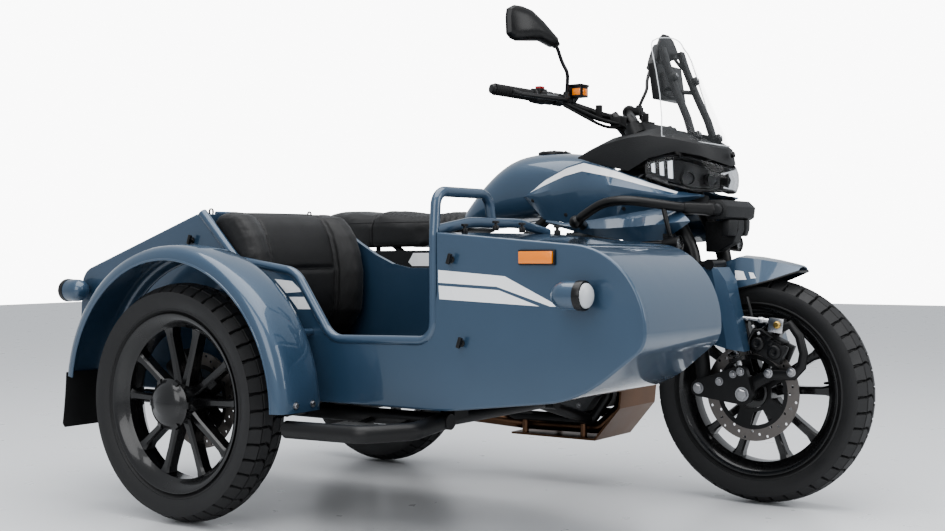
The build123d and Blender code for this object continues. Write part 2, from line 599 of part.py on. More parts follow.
# Fuel tank
with BuildPart() as fuel_tank:
    side_slab([(x, tank_rise(share)) for x, share in (
        (PIVOT_X - 122, 0.18), (PIVOT_X - 72, 0.39), (PIVOT_X - 34, 0.585), (PIVOT_X + 66, 0.855),
        (PIVOT_X + 150, 0.91), (HEAD_X - 200, 0.9), (HEAD_X - 118, 0.76), (HEAD_X - 122, 0.35),
        (HEAD_X - 170, 0.15), (PIVOT_X - 60, 0.0))], -TANK_HALF_WIDTH, TANK_HALF_WIDTH)
    plan_cut(both_sides([(PIVOT_X - 130, 92), (PIVOT_X - 40, 132), (PIVOT_X + 80, TANK_HALF_WIDTH),
                         (HEAD_X - 240, TANK_HALF_WIDTH), (HEAD_X - 110, 118)]), 400, 800)
    front_cut([(TANK_HALF_WIDTH - 20, TANK_FOOT - 10), (TANK_HALF_WIDTH, tank_rise(0.27)),
               (TANK_HALF_WIDTH, tank_rise(0.585)), (TANK_HALF_WIDTH - 30, tank_rise(0.79)),
               (84, tank_rise(0.915))], 300, 1000)
    add(main_frame.part, mode=Mode.SUBTRACT)

# Tank side panels, each with a wing at its lower front corner and a hole for the crash bar
with BuildPart() as tank_panels:
    wing = [(HEAD_X + x, HEAD_HEIGHT + z) for x, z in ((248, -248), (175, -300), (45, -306), (-75, -282))]
    side_slab([(x, tank_rise(share)) for x, share in (
        (PIVOT_X + 160, 0.37), (HEAD_X - 164, 0.7), (HEAD_X - 100, 0.76), (HEAD_X + 10, 0.64),
        (HEAD_X + 194, 0.37), (HEAD_X + 262, 0.335), (HEAD_X + 178, 0.2))] + wing
        + [(PIVOT_X + 250, tank_rise(0.06))], 0, 240)
    plan_cut([(PIVOT_X + 140, 162), (PIVOT_X + 260, 190), (HEAD_X + 95, 200), (HEAD_X + 270, 128),
              (HEAD_X + 258, 108), (HEAD_X + 95, 176), (PIVOT_X + 270, 168), (PIVOT_X + 144, 160)], 400, 800)
    for mount_x, mount_y, mount_share in ((HEAD_X - 150, 120, 0.54), (PIVOT_X + 230, 140, 0.42)):
        bar((mount_x, mount_y, tank_rise(mount_share)), (mount_x, 172, tank_rise(mount_share)), 10)
    bar(CRASH_BAR_FOOT, CRASH_BAR_KNEE, CRASH_BAR_RADIUS + 3, mode=Mode.SUBTRACT)
    mirror(about=Plane.XZ)
    add(radiator.part, mode=Mode.SUBTRACT)
    add(fuel_tank.part, mode=Mode.SUBTRACT)
    add(main_frame.part, mode=Mode.SUBTRACT)

# Front cowl round the windscreen's foot, windscreen, headlight, bracket and display
SCREEN_FOOT = HEAD_HEIGHT - 30
SCREEN_RISE = 320.0
SCREEN_LEAN = 0.46
SCREEN_SHEET = 5.0
SCREEN_HALF_WIDTH = 168.0
SCREEN_TOP_HALF_WIDTH = 105.0
SCREEN_FRONT = HEAD_X + 278
SCREEN_BACK = HEAD_X + 150
with BuildPart() as windscreen:
    with BuildSketch(Plane.XY.offset(SCREEN_FOOT)):
        inside = SCREEN_HALF_WIDTH - 4
        with BuildLine():
            ThreePointArc((SCREEN_BACK, -SCREEN_HALF_WIDTH), (SCREEN_FRONT, 0),
                          (SCREEN_BACK, SCREEN_HALF_WIDTH))
            Line((SCREEN_BACK, SCREEN_HALF_WIDTH), (SCREEN_BACK - SCREEN_SHEET, inside))
            ThreePointArc((SCREEN_BACK - SCREEN_SHEET, inside), (SCREEN_FRONT - SCREEN_SHEET, 0),
                          (SCREEN_BACK - SCREEN_SHEET, -inside))
            Line((SCREEN_BACK - SCREEN_SHEET, -inside), (SCREEN_BACK, -SCREEN_HALF_WIDTH))
        make_face()
    extrude(amount=SCREEN_RISE, dir=(-SCREEN_LEAN, 0, 1))
    with BuildSketch(Plane(origin=(HEAD_X - 200, 0, SCREEN_FOOT), x_dir=(0, 1, 0), z_dir=(1, 0, 0))):
        with BuildLine():
            FilletPolyline((-SCREEN_HALF_WIDTH - 2, 6), (SCREEN_HALF_WIDTH + 2, 6),
                           (SCREEN_TOP_HALF_WIDTH, SCREEN_RISE - 20), (0, SCREEN_RISE - 2),
                           (-SCREEN_TOP_HALF_WIDTH, SCREEN_RISE - 20), radius=40, close=True)
        make_face()
    extrude(amount=800, mode=Mode.INTERSECT)
with BuildPart() as front_cowl:
    side_slab(ahead([(-128, -50), (-40, -16), (95, 6), (200, -12), (278, -32), (298, -74), (298, -90),
                     (241, -62), (194, -50), (102, -64), (64, -100), (-56, -74)], HEAD_X, HEAD_HEIGHT), -200, 200)
    plan_cut([(HEAD_X + x, y) for x, y in wrapped_band(
        [(-140, 150), (0, 186), (120, 186), (215, 150), (280, 80), (298, 0)],
        [(-136, 128), (0, 162), (112, 162), (192, 128), (248, 66), (262, 0)])],
        HEAD_HEIGHT - 230, HEAD_HEIGHT + 170)
    add(windscreen.part, mode=Mode.SUBTRACT)
with BuildPart() as headlight:
    side_slab(ahead([(108, -66), (194, -52), (241, -64), (306, -98), (290, -160), (240, -164), (195, -150),
                     (112, -118)], HEAD_X, HEAD_HEIGHT), -200, 200)
    plan_cut([(HEAD_X + x, y) for x, y in wrapped_band(
        [(122, 176), (250, 118), (306, 36), (306, 0)],
        [(112, 158), (200, 124), (248, 60), (248, 0)])], HEAD_HEIGHT - 330, HEAD_HEIGHT + 170)
    add(front_cowl.part, mode=Mode.SUBTRACT)
with BuildPart() as screen_bracket:
    bar(head_point(222, 70, -58), head_point(150, 62, 120), 8)
    bar(head_point(150, 62, 116), head_point(187, 62, 116), 7)
    bar(head_point(92, 62, 150), head_point(152, 62, 116), 6)
    mirror(about=Plane.XZ)
    side_slab(ahead([(74, 120), (92, 118), (104, 218), (86, 220)], HEAD_X, HEAD_HEIGHT), -88, 88)
    add(windscreen.part, mode=Mode.SUBTRACT)
    add(front_cowl.part, mode=Mode.SUBTRACT)
    add(headlight.part, mode=Mode.SUBTRACT)

# Crash bars with the bumper block, the beak below it and two auxiliary lamps
BUMPER_DROP = 243.0
BUMPER_HEIGHT = 56.0
BEAK_HALF_WIDTH = 100.0
KEEL_HALF_WIDTH = 36.0
BEAK_CHEEK_DEPTH = 54.0
with BuildPart() as crash_bars:
    bent_tube([CRASH_BAR_FOOT, CRASH_BAR_KNEE, head_point(20, 264, -194),
               head_point(90, 258, -187), head_point(238, 156, -214), head_point(292, 60, -216)],
              CRASH_BAR_RADIUS, 24)
    bar(head_point(196, 205, -202), head_point(206, 205, -300), 8)
    mirror(about=Plane.XZ)
    with BuildSketch(Plane.XY.offset(HEAD_HEIGHT - BUMPER_DROP)):
        with BuildLine():
            Polyline(*both_sides([(HEAD_X + 262, 128), (HEAD_X + 300, 122), (HEAD_X + 334, 50)]), close=True)
        make_face()
    extrude(amount=BUMPER_HEIGHT)
    add(main_frame.part, mode=Mode.SUBTRACT)
    add(tank_panels.part, mode=Mode.SUBTRACT)
with BuildPart() as front_beak:
    beak_top = -BUMPER_DROP - TOUCH_GAP
    side_slab(ahead([(214, beak_top), (334, beak_top), (328, -280), (316, -318), (256, -340), (218, -338)],
                    HEAD_X, HEAD_HEIGHT), -KEEL_HALF_WIDTH, KEEL_HALF_WIDTH)
    with BuildSketch(Plane.XY.offset(HEAD_HEIGHT + beak_top)):
        with BuildLine():
            Polyline(*both_sides([(HEAD_X + 296, BEAK_HALF_WIDTH), (HEAD_X + 308, BEAK_HALF_WIDTH),
                                  (HEAD_X + 334, 40)]), close=True)
        make_face()
    extrude(amount=-BEAK_CHEEK_DEPTH)
    add(crash_bars.part, mode=Mode.SUBTRACT)
with BuildPart() as fog_lamps:
    bar(head_point(182, 205, -312), head_point(230, 205, -312), 24)
    mirror(about=Plane.XZ)
    add(crash_bars.part, mode=Mode.SUBTRACT)
    add(front_beak.part, mode=Mode.SUBTRACT)

# Seat, side covers, rear mudguard with number plate holder and tail lamp
SIDE_COVER_TOP = SEAT_SKIRT_Z - 5
PLATE_X = -356.0
PLATE_BOLT_SPACING = 150.0
PLATE_BOLT_RADIUS = 3.2
with BuildPart() as rider_seat:
    side_slab([(seat_run(share), z) for share, z in (
        (-0.135, 520), (-0.1, 538), (0.02, 541), (0.15, 539), (0.235, 531), (0.35, 540), (0.47, 533), (0.56, 524),
        (0.68, 523), (0.82, 532), (0.9, 526), (0.925, 500), (1.0, 466), (0.92, 456), (0.055, 456), (0.0, 501),
        (-0.12, 505))], -SEAT_HALF_WIDTH, SEAT_HALF_WIDTH)
    for skirt_low, skirt_high in ((-SEAT_HALF_WIDTH, -SEAT_SKIRT_Y), (SEAT_SKIRT_Y, SEAT_HALF_WIDTH)):
        side_slab([(seat_run(share), z) for share, z in (
            (0.03, 470), (0.06, 436), (0.28, SEAT_SKIRT_Z), (0.72, SEAT_SKIRT_Z), (0.88, 470))], skirt_low, skirt_high)
    plan_cut(both_sides([(seat_run(-0.14), 92), (SEAT_TAIL - 4, 122), (seat_run(0.3), SEAT_HALF_WIDTH),
                         (seat_run(0.6), SEAT_HALF_WIDTH - 4), (seat_run(1.0) + 5, 92)]), 400, 600)
with BuildPart() as side_covers:
    side_slab([(-150, 430), (30, SIDE_COVER_TOP), (PIVOT_X - 110, SIDE_COVER_TOP), (PIVOT_X - 30, 392),
               (PIVOT_X - 100, 304), (70, 310), (-40, 356)], 120, 132)
    for mount_x in (60, PIVOT_X - 140):
        bar((mount_x, 99, 436), (mount_x, 99, 386), 8)
        bar((mount_x, 96, 390), (mount_x, 126, 390), 8)
    mirror(about=Plane.XZ)
    add(main_frame.part, mode=Mode.SUBTRACT)
with BuildPart() as rear_mudguard:
    side_slab([(-20, 428), (-140, 422), (-290, 338), (PLATE_X, 250), (PLATE_X, 106), (PLATE_X + 7, 106),
               (PLATE_X + 7, 247), (-284, 331), (-136, 414), (-20, 420)], -66, 66)
    with BuildSketch(Plane(origin=(PLATE_X, 0, 178), x_dir=(0, -1, 0), z_dir=(-1, 0, 0))):
        RectangleRounded(196, 128, 8)
        with GridLocations(PLATE_BOLT_SPACING, 1, 2, 1):
            Circle(PLATE_BOLT_RADIUS, mode=Mode.SUBTRACT)
    extrude(amount=6)
with BuildPart() as tail_lamp:
    side_slab([(-138, 452), (-128, 498), (-172, 490), (-186, 462), (-180, 428), (-146, 428)], -66, 66)

# Sidecar body: outer form, hollow, cockpit opening and the lines where its panels meet
BODY_POINTS = [(-524, BODY_FLOOR), (760, BODY_FLOOR), (1140, BODY_FLOOR + 47), (1312, 186), (1312, 400),
               (760, 446), (-94, 510), (-594, 345), (-609, 110)]
BODY_BENDS = [50, 600, 330, 60, 198, 400, 60, 60, 80]
COWL_REAR = 742.0
TAPER_START = 776.0
NOSE_REACH = 1380.0
SILL = [(-79, 512), (54, 379), (274, 347), (399, 174), (728, 180)]
SILL_BENDS = [60, 70, 70, 48, 100, 40, 40]
DEEP_OPENING = [(-79, 540)] + SILL[:-1] + [(686, 180), (714, 190), (726, 214), (744, 300), (744, 540)]
RIM_OPENING = [(-79, 540), (-79, 514), (60, 428), (126, 391), (190, 364), (250, 352), (620, 352), (700, 380),
               (744, 440), (744, 540)]
LID_BACK = -552.0
LID_FRONT = -100.0


# Tube rail round the cockpit with its grab hoop
RAIL_Y = BODY_OUT + 8
with BuildPart() as cockpit_rail:
    outer_run = [(x + WHEEL_LEAD, RAIL_Y, z) for x, z in SILL]
    bent_tube(outer_run + [(WHEEL_LEAD + 730, RAIL_Y, 440), (WHEEL_LEAD + 728, RAIL_Y + 12, 548),
                           (WHEEL_LEAD + 724, BODY_OUT + 250, 548), (WHEEL_LEAD + 728, BODY_OUT + 262, 470)],
              RAIL_RADIUS, SILL_BENDS)
    bent_tube([(WHEEL_LEAD + 732, RAIL_Y, 452), (WHEEL_LEAD + 732, BODY_OUT + 160, 474),
               (WHEEL_LEAD + 732, BODY_OUT + 380, 474), (WHEEL_LEAD + 732, BODY_IN - 10, 450)],
              RAIL_RADIUS, 300)


def body_block(shrink):
    """The sidecar's outer form, or the hollow inside it when shrunk by its wall."""
    nose_in = BODY_OUT + NOSE_WIDTH
    with BuildPart() as block:
        with BuildSketch(side_plane(BODY_IN, WHEEL_LEAD, 0)):
            with BuildLine():
                FilletPolyline(*BODY_POINTS, radius=BODY_BENDS, close=True)
            make_face()
            if shrink:
                offset(amount=-shrink, mode=Mode.REPLACE)
        extrude(amount=BODY_WIDTH)
        with BuildSketch(Plane.XY.offset(-50)):
            with BuildLine():
                Polyline((WHEEL_LEAD - 640, BODY_OUT), (WHEEL_LEAD + NOSE_REACH, BODY_OUT),
                         (WHEEL_LEAD + NOSE_REACH, nose_in), (WHEEL_LEAD + TAPER_START, BODY_IN),
                         (WHEEL_LEAD - 640, BODY_IN), close=True)
            make_face()
            if shrink:
                offset(amount=-shrink, mode=Mode.REPLACE)
        extrude(amount=700, mode=Mode.INTERSECT)
        if not shrink:
            outer_face = block.faces().filter_by(Plane.XZ).sort_by(Axis.Y)[0]
            fillet(outer_face.edges(), BODY_EDGE)
    return block


body_form = body_block(0)
body_hollow = body_block(BODY_WALL)


def body_shell():
    """Start a panel from the whole hollow body, with the cockpit opening cut out of it."""
    add(body_form.part)
    add(body_hollow.part, mode=Mode.SUBTRACT)
    side_slab(ahead(RIM_OPENING, WHEEL_LEAD), BODY_OUT - 50, BODY_IN + 50, mode=Mode.SUBTRACT)
    side_slab(ahead(DEEP_OPENING, WHEEL_LEAD), BODY_OUT - 50, BODY_OUT + BODY_WALL + 5, mode=Mode.SUBTRACT)
    add(cockpit_rail.part, mode=Mode.SUBTRACT)


def keep_box(x_low, x_high, y_low, y_high, z_low, z_high):
    """Keep only what lies inside a box of the part being built."""
    with BuildSketch(Plane.XY.offset(z_low)) as footprint:
        with Locations(((x_low + x_high) / 2, (y_low + y_high) / 2)):
            Rectangle(x_high - x_low, y_high - y_low)
    extrude(footprint.sketch, amount=z_high - z_low, mode=Mode.INTERSECT)


def keep_middle():
    """Keep only the band between the outer and inner side panels of the part being built."""
    plan_cut([(WHEEL_LEAD - 700, BODY_OUT + BODY_WALL), (WHEEL_LEAD + 1500, BODY_OUT + BODY_WALL),
              (WHEEL_LEAD + 1500, inner_seam(1500)), (WHEEL_LEAD + TAPER_START, inner_seam(TAPER_START)),
              (WHEEL_LEAD - 700, inner_seam(-700))], -60, 700)


def inner_seam(x):
    """How far left the band between the side panels reaches, x ahead of the sidecar wheel."""
    taper = max(0.0, x - TAPER_START) * (BODY_WIDTH - NOSE_WIDTH) / (NOSE_REACH - TAPER_START)
    return BODY_IN - BODY_WALL - taper


HINGE_X = WHEEL_LEAD + LID_FRONT + LID_GAP / 2
HINGE_Z = 512.0
HINGE_RADIUS = 6.0
HINGE_GAP = 1.5
HINGE_LENGTH = 40.0
HINGE_SPREAD = 150.0
HINGE_STEP = HINGE_LENGTH / 2 + HINGE_GAP / 2


def hinge_barrels(step, radius, mode):
    """Add round barrels on the lid's hinge line to the part being built, or cut room for them."""
    for middle in (-HINGE_SPREAD, HINGE_SPREAD):
        barrel_y = (BODY_OUT + BODY_IN) / 2 + middle + step
        half = HINGE_LENGTH / 2 + (radius - HINGE_RADIUS) / 2
        bar((HINGE_X, barrel_y - half, HINGE_Z), (HINGE_X, barrel_y + half, HINGE_Z), radius, mode=mode)


with BuildPart() as sidecar_outer_panel:
    body_shell()
    keep_box(WHEEL_LEAD - 700, WHEEL_LEAD + 1500, BODY_OUT - 20, BODY_OUT + BODY_WALL, -60, 700)
with BuildPart() as sidecar_inner_panel:
    body_shell()
    plan_cut([(WHEEL_LEAD - 700, BODY_IN + 20), (WHEEL_LEAD + 1500, BODY_IN + 20),
              (WHEEL_LEAD + 1500, inner_seam(1500)), (WHEEL_LEAD + TAPER_START, inner_seam(TAPER_START)),
              (WHEEL_LEAD - 700, inner_seam(-700))], -60, 700)
with BuildPart() as sidecar_nose:
    body_shell()
    keep_middle()
    keep_box(WHEEL_LEAD + COWL_REAR, WHEEL_LEAD + 1500, BODY_OUT - 20, BODY_IN + 20, -60, 700)
with BuildPart() as sidecar_floor:
    body_shell()
    keep_middle()
    keep_box(WHEEL_LEAD - 480, WHEEL_LEAD + COWL_REAR, BODY_OUT - 20, BODY_IN + 20, -60, 100)
with BuildPart() as sidecar_tail:
    body_shell()
    keep_middle()
    side_slab(ahead([(-700, -60), (-480, -60), (-480, 200), (LID_BACK, 200), (LID_BACK, 600), (-700, 600)],
                    WHEEL_LEAD), BODY_OUT, BODY_IN, mode=Mode.INTERSECT)
with BuildPart() as boot_lid:
    body_shell()
    keep_box(WHEEL_LEAD + LID_BACK + LID_GAP, WHEEL_LEAD + LID_FRONT, BODY_OUT + BODY_WALL + LID_GAP,
             BODY_IN - BODY_WALL - LID_GAP, 200, 700)
    hinge_barrels(-HINGE_STEP, HINGE_RADIUS, Mode.ADD)
    hinge_barrels(HINGE_STEP, HINGE_RADIUS + HINGE_GAP, Mode.SUBTRACT)
with BuildPart() as sidecar_bulkhead:
    body_shell()
    keep_middle()
    wall_x = WHEEL_LEAD + LID_FRONT + LID_GAP
    keep_box(wall_x, wall_x + BODY_WALL, BODY_OUT, BODY_IN, 400, 700)
    with BuildSketch(Plane.XY.offset(BODY_FLOOR + BODY_WALL + 2)):
        with Locations((wall_x + BODY_WALL / 2, (BODY_OUT + BODY_IN) / 2)):
            Rectangle(BODY_WALL, BODY_WIDTH - BODY_WALL * 2 - 2)
    extrude(amount=470)
    hinge_barrels(HINGE_STEP, HINGE_RADIUS, Mode.ADD)
    hinge_barrels(-HINGE_STEP, HINGE_RADIUS + HINGE_GAP, Mode.SUBTRACT)
    add(sidecar_outer_panel.part, mode=Mode.SUBTRACT)
    add(sidecar_inner_panel.part, mode=Mode.SUBTRACT)
    add(cockpit_rail.part, mode=Mode.SUBTRACT)

# Padded sidecar seat
seat_front = WHEEL_LEAD + LID_FRONT + LID_GAP + 18
seat_side_out = BODY_OUT + BODY_WALL + 6
seat_side_in = BODY_IN - BODY_WALL - 6
SEAT_TOP = 142.0
BOLSTER_WIDTH = 84.0
with BuildPart() as sidecar_backrest:
    back_foot = SEAT_TOP + TOUCH_GAP
    side_slab(ahead([(0, back_foot), (0, 512), (60, 520), (112, 512), (166, 450), (195, 345), (188, 225),
                     (120, back_foot)], seat_front), seat_side_out, seat_side_in)
    side_slab(ahead([(84, 560), (92, 505), (124, 450), (146, 345), (140, 225), (84, back_foot - 10),
                     (260, back_foot - 10), (260, 560)], seat_front),
              seat_side_out + BOLSTER_WIDTH, seat_side_in - BOLSTER_WIDTH, mode=Mode.SUBTRACT)
SEAT_UNDERSIDE = BODY_FLOOR + BODY_WALL + TOUCH_GAP
with BuildPart() as sidecar_seat:
    side_slab(ahead([(2, SEAT_UNDERSIDE), (2, SEAT_TOP), (460, SEAT_TOP), (500, SEAT_TOP - 24),
                     (470, SEAT_UNDERSIDE)], seat_front), seat_side_out, seat_side_in)

# Sidecar wheel mudguard, its stays and its flap
SIDE_GUARD_CROWN = TYRE_RADIUS + SIDE_GUARD_GAP
with BuildPart() as sidecar_mudguard:
    arched_guard(SIDE_CENTRE, SIDE_GUARD_CROWN, SIDE_GUARD_DEPTH, SIDE_GUARD_WIDTH / 2, 0, 172)
    for stay_angle in (30, 90, 145):
        stay_x = WHEEL_LEAD + (SIDE_GUARD_CROWN - SIDE_GUARD_DEPTH) * cos(radians(stay_angle))
        stay_z = (SIDE_GUARD_CROWN - SIDE_GUARD_DEPTH) * sin(radians(stay_angle))
        bar((stay_x, BODY_OUT, stay_z), (stay_x, -TRACK + SIDE_GUARD_WIDTH / 2 - 4, stay_z), 10)
with BuildPart() as mudflap:
    side_slab(ahead([(-404, 40), (-398, 40), (-412, -90), (-420, -90)], WHEEL_LEAD), -TRACK - 80, -TRACK + 80)

# Sidecar chassis ladder, struts to the motorcycle, step, swinging arm and shock absorber
INNER_RAIL_Y = BODY_IN + 26
OUTER_RAIL_Y = BODY_OUT + 60
RAIL_Z = BODY_FLOOR - SIDE_TUBE_RADIUS - 12
TIE_BORE_RADIUS = 8.0
TIE_LUG_THICKNESS = 14.0
with BuildPart() as sidecar_chassis:
    for cross_x in (WHEEL_LEAD - 360, WHEEL_LEAD + 300, WHEEL_LEAD + 700):
        bar((cross_x, INNER_RAIL_Y, RAIL_Z), (cross_x, OUTER_RAIL_Y, RAIL_Z), SIDE_TUBE_RADIUS - 2)
        for pad_y in (BODY_IN - 60, BODY_OUT + 130):
            with BuildSketch(Plane.XY.offset(RAIL_Z)):
                with Locations((cross_x, pad_y)):
                    Rectangle(44, 60)
            extrude(amount=BODY_FLOOR - RAIL_Z)
    bar((WHEEL_LEAD - 380, INNER_RAIL_Y, RAIL_Z), (WHEEL_LEAD + 740, INNER_RAIL_Y, RAIL_Z), SIDE_TUBE_RADIUS)
    bar((WHEEL_LEAD - 380, OUTER_RAIL_Y, RAIL_Z), (WHEEL_LEAD + 740, OUTER_RAIL_Y, RAIL_Z), SIDE_TUBE_RADIUS)
    lug_y = (INNER_RAIL_Y + OUTER_RAIL_Y) / 2
    with BuildSketch(Plane(origin=(WHEEL_LEAD - 374, lug_y, RAIL_Z - 20), x_dir=(0, -1, 0), z_dir=(-1, 0, 0))):
        RectangleRounded(60, 60, 10)
        with Locations((0, -6)):
            Circle(TIE_BORE_RADIUS, mode=Mode.SUBTRACT)
    extrude(amount=TIE_LUG_THICKNESS)
STRUT_RADIUS = 17.0
STRUT_ENDS = [((WHEEL_LEAD + 650, RAIL_Z), (HEAD_X - 130, -92, -112)),
              ((WHEEL_LEAD + 380, RAIL_Z), (PIVOT_X + 8, -SPAR_HALF_WIDTH - 10, PIVOT_Z)),
              ((WHEEL_LEAD + 690, RAIL_Z), (HEAD_X - 22, -64, 370)),
              ((WHEEL_LEAD - 20, RAIL_Z), (PIVOT_X + 76, -SPAR_HALF_WIDTH - 4, 340))]
with BuildPart() as chassis_struts:
    for (foot_x, foot_z), frame_end in STRUT_ENDS:
        bar((foot_x, INNER_RAIL_Y + 10, foot_z), frame_end, STRUT_RADIUS)
    add(sidecar_chassis.part, mode=Mode.SUBTRACT)
    add(main_frame.part, mode=Mode.SUBTRACT)
STEP_PLATE_TOP = -33.0
STEP_PLATE_THICKNESS = 8.0
STEP_PLATE_LENGTH = 180.0
STEP_PLATE_WIDTH = 146.0
STEP_PLATE_X = WHEEL_LEAD + 560
STEP_PLATE_Y = -TRACK + 48
with BuildPart() as sidecar_step:
    bent_tube([(WHEEL_LEAD + 400, -TRACK - 38, -40), (WHEEL_LEAD + 640, -TRACK - 38, -36),
               (WHEEL_LEAD + 716, -TRACK + 70, -34), (WHEEL_LEAD + 716, OUTER_RAIL_Y, RAIL_Z)], STEP_RADIUS, 40)
    with BuildSketch(Plane.XY.offset(STEP_PLATE_TOP)):
        with Locations((STEP_PLATE_X, STEP_PLATE_Y)):
            Rectangle(STEP_PLATE_LENGTH, STEP_PLATE_WIDTH)
    extrude(amount=-STEP_PLATE_THICKNESS)
    for bracket_x in (STEP_PLATE_X - 60, STEP_PLATE_X + 60):
        bar((bracket_x, STEP_PLATE_Y, STEP_PLATE_TOP - 16), (bracket_x, OUTER_RAIL_Y, RAIL_Z - 8), 9)
    add(sidecar_chassis.part, mode=Mode.SUBTRACT)
ARM_Y = BODY_OUT - 24
with BuildPart() as sidecar_arm:
    bar((WHEEL_LEAD + 270, ARM_Y, RAIL_Z + 6), (WHEEL_LEAD - 10, ARM_Y, 0), 17)
    bar((WHEEL_LEAD + 270, ARM_Y - 17, RAIL_Z + 6), (WHEEL_LEAD + 270, OUTER_RAIL_Y - 8, RAIL_Z + 6), 15)
    bar((WHEEL_LEAD, ARM_Y, 0), (WHEEL_LEAD, CAP_START + 6, 0), AXLE_RADIUS)
    with BuildSketch(side_plane(SIDE_DISC_Y + 22, WHEEL_LEAD - 74, 95)):
        RectangleRounded(86, 54, 12, rotation=38)
    extrude(amount=40)
    with BuildSketch(side_plane(SIDE_DISC_Y + DISC_THICKNESS, WHEEL_LEAD, 0)):
        Circle(SIDE_DISC_RADIUS + 6)
    extrude(amount=DISC_THICKNESS * 2, mode=Mode.SUBTRACT)
    bar((WHEEL_LEAD - 64, SIDE_DISC_Y + 20, 80), (WHEEL_LEAD - 4, ARM_Y, 0), 12)
    bar((WHEEL_LEAD, ARM_Y, 0), (WHEEL_LEAD, -TRACK + SIDE_HUB_WIDTH / 2 + RUNNING_GAP, 0), 19)
    add(sidecar_chassis.part, mode=Mode.SUBTRACT)
with BuildPart() as sidecar_shock:
    bar((WHEEL_LEAD + 70, ARM_Y - 2, 10), (WHEEL_LEAD + 96, ARM_Y - 2, 330), 10)
    bar((WHEEL_LEAD + 76, ARM_Y - 2, 70), (WHEEL_LEAD + 93, ARM_Y - 2, 290), 21)
    bar((WHEEL_LEAD + 96, ARM_Y - 2, 326), (WHEEL_LEAD + 96, BODY_OUT, 326), 10)
    add(sidecar_arm.part, mode=Mode.SUBTRACT)

# Sidecar lamps
LAMP_RADIUS = 33.0
LAMP_LENGTH = 98.0
LAMP_STANDOFF = 10.0
with BuildPart() as sidecar_lamps:
    for lamp_x, lamp_z, stretch in ((WHEEL_LEAD + 1104, 300, 1), (WHEEL_LEAD - 528, 290, -1)):
        lamp_y = BODY_OUT - LAMP_RADIUS - LAMP_STANDOFF
        stalk_x = lamp_x + stretch * 40
        bar((lamp_x, lamp_y, lamp_z), (lamp_x + stretch * LAMP_LENGTH, lamp_y, lamp_z), LAMP_RADIUS)
        bar((stalk_x, lamp_y, lamp_z), (stalk_x, BODY_OUT, lamp_z), 12)

PIECES = {
    "front_tyre": front_tyre, "front_rim": front_rim, "front_disc": front_disc,
    "rear_tyre": rear_tyre, "rear_rim": rear_rim, "rear_disc_sprocket": rear_disc_sprocket,
    "sidecar_tyre": sidecar_tyre, "sidecar_rim": sidecar_rim, "sidecar_disc": sidecar_disc,
    "fork_clamps": fork_clamps, "fork_legs": fork_legs, "leading_links": leading_links,
    "front_shocks": front_shocks, "fork_shields": fork_shields, "front_mudguard": front_mudguard,
    "front_calliper": front_calliper, "handlebar": handlebar, "grips": grips, "bar_controls": bar_controls,
    "mirrors": mirrors, "main_frame": main_frame, "engine": engine, "radiator": radiator, "exhaust": exhaust,
    "skid_plate": skid_plate, "swingarm": swingarm, "rear_shock": rear_shock, "drive_chain": drive_chain,
    "fuel_tank": fuel_tank, "tank_panels": tank_panels, "front_cowl": front_cowl, "headlight": headlight,
    "windscreen": windscreen, "screen_bracket": screen_bracket, "crash_bars": crash_bars,
    "front_beak": front_beak, "fog_lamps": fog_lamps,
    "rider_seat": rider_seat, "side_covers": side_covers, "rear_mudguard": rear_mudguard,
    "tail_lamp": tail_lamp,
    "sidecar_outer_panel": sidecar_outer_panel, "sidecar_inner_panel": sidecar_inner_panel,
    "sidecar_nose": sidecar_nose, "sidecar_floor": sidecar_floor, "sidecar_tail": sidecar_tail,
    "boot_lid": boot_lid, "sidecar_bulkhead": sidecar_bulkhead, "sidecar_backrest": sidecar_backrest,
    "sidecar_seat": sidecar_seat, "cockpit_rail": cockpit_rail, "sidecar_mudguard": sidecar_mudguard,
    "mudflap": mudflap, "sidecar_chassis": sidecar_chassis, "chassis_struts": chassis_struts,
    "sidecar_step": sidecar_step, "sidecar_arm": sidecar_arm,
    "sidecar_shock": sidecar_shock, "sidecar_lamps": sidecar_lamps,
}

os.makedirs("parts", exist_ok=True)
for name, piece in PIECES.items():
    placed = piece.part.moved(Location((-MIDDLE_X, -MIDDLE_Y, TYRE_RADIUS)))
    placed.label = name
    export_step(placed, f"parts/{name}.step")
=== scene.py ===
"""Looks of a sidecar motorcycle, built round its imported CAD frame.

Places are written in millimetres from the rear axle, x forward, y to the left and z up. A form turns
them into the frame's metres when it is done.
"""
import json
import logging
import math
from dataclasses import dataclass, field
from enum import Enum
from typing import Callable, Iterable, Sequence

import bmesh
import bpy
from mathutils import Matrix, Vector
from mathutils.bvhtree import BVHTree
from mathutils.kdtree import KDTree


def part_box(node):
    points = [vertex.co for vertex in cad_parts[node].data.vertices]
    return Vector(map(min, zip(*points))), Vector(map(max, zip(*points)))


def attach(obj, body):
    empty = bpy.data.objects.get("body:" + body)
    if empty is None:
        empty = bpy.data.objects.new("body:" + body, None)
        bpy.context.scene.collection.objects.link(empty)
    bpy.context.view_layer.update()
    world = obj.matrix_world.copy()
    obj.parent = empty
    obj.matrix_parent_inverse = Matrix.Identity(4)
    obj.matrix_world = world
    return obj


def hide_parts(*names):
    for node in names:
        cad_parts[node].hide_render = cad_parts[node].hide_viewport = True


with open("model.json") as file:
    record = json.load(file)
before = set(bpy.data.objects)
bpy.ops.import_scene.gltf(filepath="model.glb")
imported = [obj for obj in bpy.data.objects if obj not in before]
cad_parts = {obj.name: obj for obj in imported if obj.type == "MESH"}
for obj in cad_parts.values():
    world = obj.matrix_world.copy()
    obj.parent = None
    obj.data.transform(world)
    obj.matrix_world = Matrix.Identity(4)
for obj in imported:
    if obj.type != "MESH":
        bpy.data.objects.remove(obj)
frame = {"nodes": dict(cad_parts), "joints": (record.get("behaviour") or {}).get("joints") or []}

LOG = logging.getLogger("outfit")
